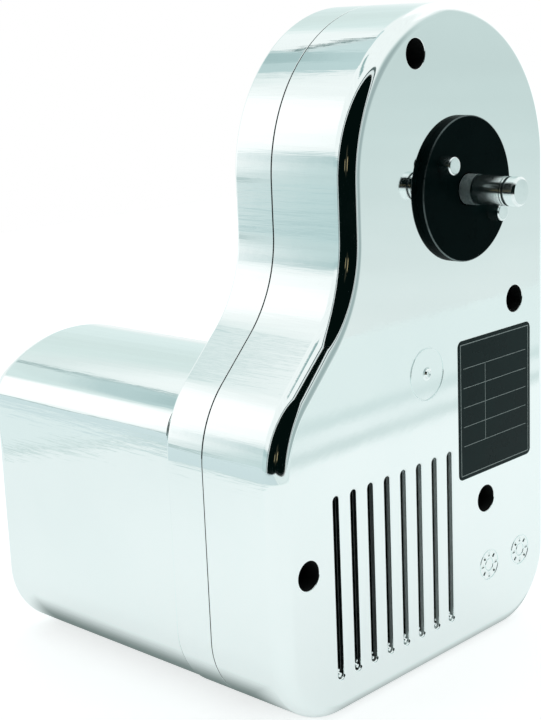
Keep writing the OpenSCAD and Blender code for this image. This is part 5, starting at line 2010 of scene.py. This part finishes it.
    def streaked(self, sky: Wiring, where: dict[str, Socket], colour: Socket) -> Socket:
        """Faint streaks: colour x (1 + 2 x streaks x (noise - 1/2)), drawn out along the azimuth.

        Args:
            sky: the surroundings' tree.
            where: azimuth and elevation of the direction.
            colour: the colour below.

        Returns:
            The streaked colour.
        """
        place = sky.node("CombineXYZ", {
            "X": sky.math("MULTIPLY", where["Azimuth"], self.streak_across),
            "Y": sky.math("MULTIPLY", where["Elevation"], self.streak_up)}).outputs[0]
        offset = sky.math("SUBTRACT", sky.noise(place, 1.0, 4.0, 0.55), 0.5)
        return sky.scale(colour, sky.math("MULTIPLY_ADD", offset, 2 * self.streaks, 1.0))

    def darken(self, sky: Wiring, way: Socket, elevation: Socket, colour: Socket) -> Socket:
        """A dark cap on the left with two thin rims, cut off below the horizon.

        Away = acos(direction, squeezed in height and made a unit, . the cap's axis). The cap is
        where away is below its half angle, and a rim where away is near its own angle.

        Args:
            sky: the surroundings' tree.
            way: the direction.
            elevation: its elevation in degrees.
            colour: the colour below.

        Returns:
            The colour with the cap.
        """
        turn = math.radians(self.dark_azimuth)
        tall = sky.vector("MULTIPLY", way, (1.0, 1.0, self.dark_stretch))
        dot = sky.vector("DOT_PRODUCT", sky.vector("NORMALIZE", tall),
                         (math.cos(turn), math.sin(turn), 0.0), output="Value")
        away = sky.math("DEGREES", sky.math("ARCCOSINE", dot))
        low, soft = self.dark_low, self.dark_low_soft
        above = sky.ramp(elevation, low - soft, low + soft)
        for middle, half, tint in self.dark_rims:
            offset = sky.math("ABSOLUTE", sky.math("SUBTRACT", away, middle))
            rim = sky.ramp(sky.math("DIVIDE", offset, half), *self.rim_edge, 1.0, 0.0)
            colour = sky.mix(sky.math("MULTIPLY", rim, above), colour, tint)
        inside, outside = self.dark_edge
        cap = sky.ramp(away, self.dark_half + inside, self.dark_half + outside, 1.0, 0.0)
        return sky.mix(sky.math("MULTIPLY", cap, above), colour, self.dark)

    def light(self, effects: Effects) -> None:
        """The surroundings by direction: azimuth = atan2(y, x), elevation = asin(z).

        The panels, the streaks, the dark cap and the glints lie over the base in this order, and
        the camera itself sees white.

        Args:
            effects: the shared effects.
        """
        world = bpy.data.worlds.new("studio")
        world.use_nodes = True
        bpy.context.scene.world = world
        world.node_tree.nodes.clear()
        sky = Wiring(world.node_tree)
        way = sky.vector("NORMALIZE", sky.node("TexCoord").outputs["Generated"])
        parts = sky.node("SeparateXYZ", {0: way}).outputs
        where = {"Azimuth": sky.math("DEGREES", sky.math("ARCTAN2", parts["Y"], parts["X"])),
                 "Elevation": sky.math("DEGREES", sky.math("ARCSINE", parts["Z"]))}
        colour = self.hang(sky, effects, where, self.base, self.panels)
        colour = self.streaked(sky, where, colour)
        colour = self.darken(sky, way, where["Elevation"], colour)
        colour = self.hang(sky, effects, where, colour, self.glints)
        seen = sky.node("Background", {"Color": (*self.white, 1.0), "Strength": 1.0}).outputs[0]
        lit = sky.node("Background", {"Color": colour, "Strength": 1.0}).outputs[0]
        eye = sky.node("LightPath").outputs["Is Camera Ray"]
        both = sky.node("MixShader", {0: eye, 1: lit, 2: seen}).outputs[0]
        sky.node("OutputWorld", {"Surface": both})

    def build(self, effects: Effects) -> None:
        """Camera, floor, light and the plain colour transform.

        Args:
            effects: the shared effects.
        """
        self.place_camera()
        self.lay_floor()
        self.light(effects)
        bpy.context.scene.view_settings.view_transform = "Standard"
        LOG.info("studio: camera, floor and %d panels", len(self.panels))


def main() -> None:
    """Builds the studio and every sub-assembly in order."""
    logging.basicConfig(level=logging.INFO, format="%(name)s %(message)s")
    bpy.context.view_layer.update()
    effects = Effects()
    shop = Workshop(effects, Palette())
    Studio().build(effects)
    casing = GearCasing()
    casing.front_half(shop)
    casing.rear_half(shop)
    MotorHood().build(shop)
    plate = LockingPlate()
    plate.disc(shop, casing.stud_places())
    plate.studs(shop, casing.stud_places())
    DriveShaft().build(shop)
    RatingPlate().build(shop)
    panel = RearPanel()
    panel.switch_frame(shop)
    panel.rocker_key(shop)
    panel.inlet(shop)
    InnerWorks.dress(shop)


if __name__ == "__main__":
    main()
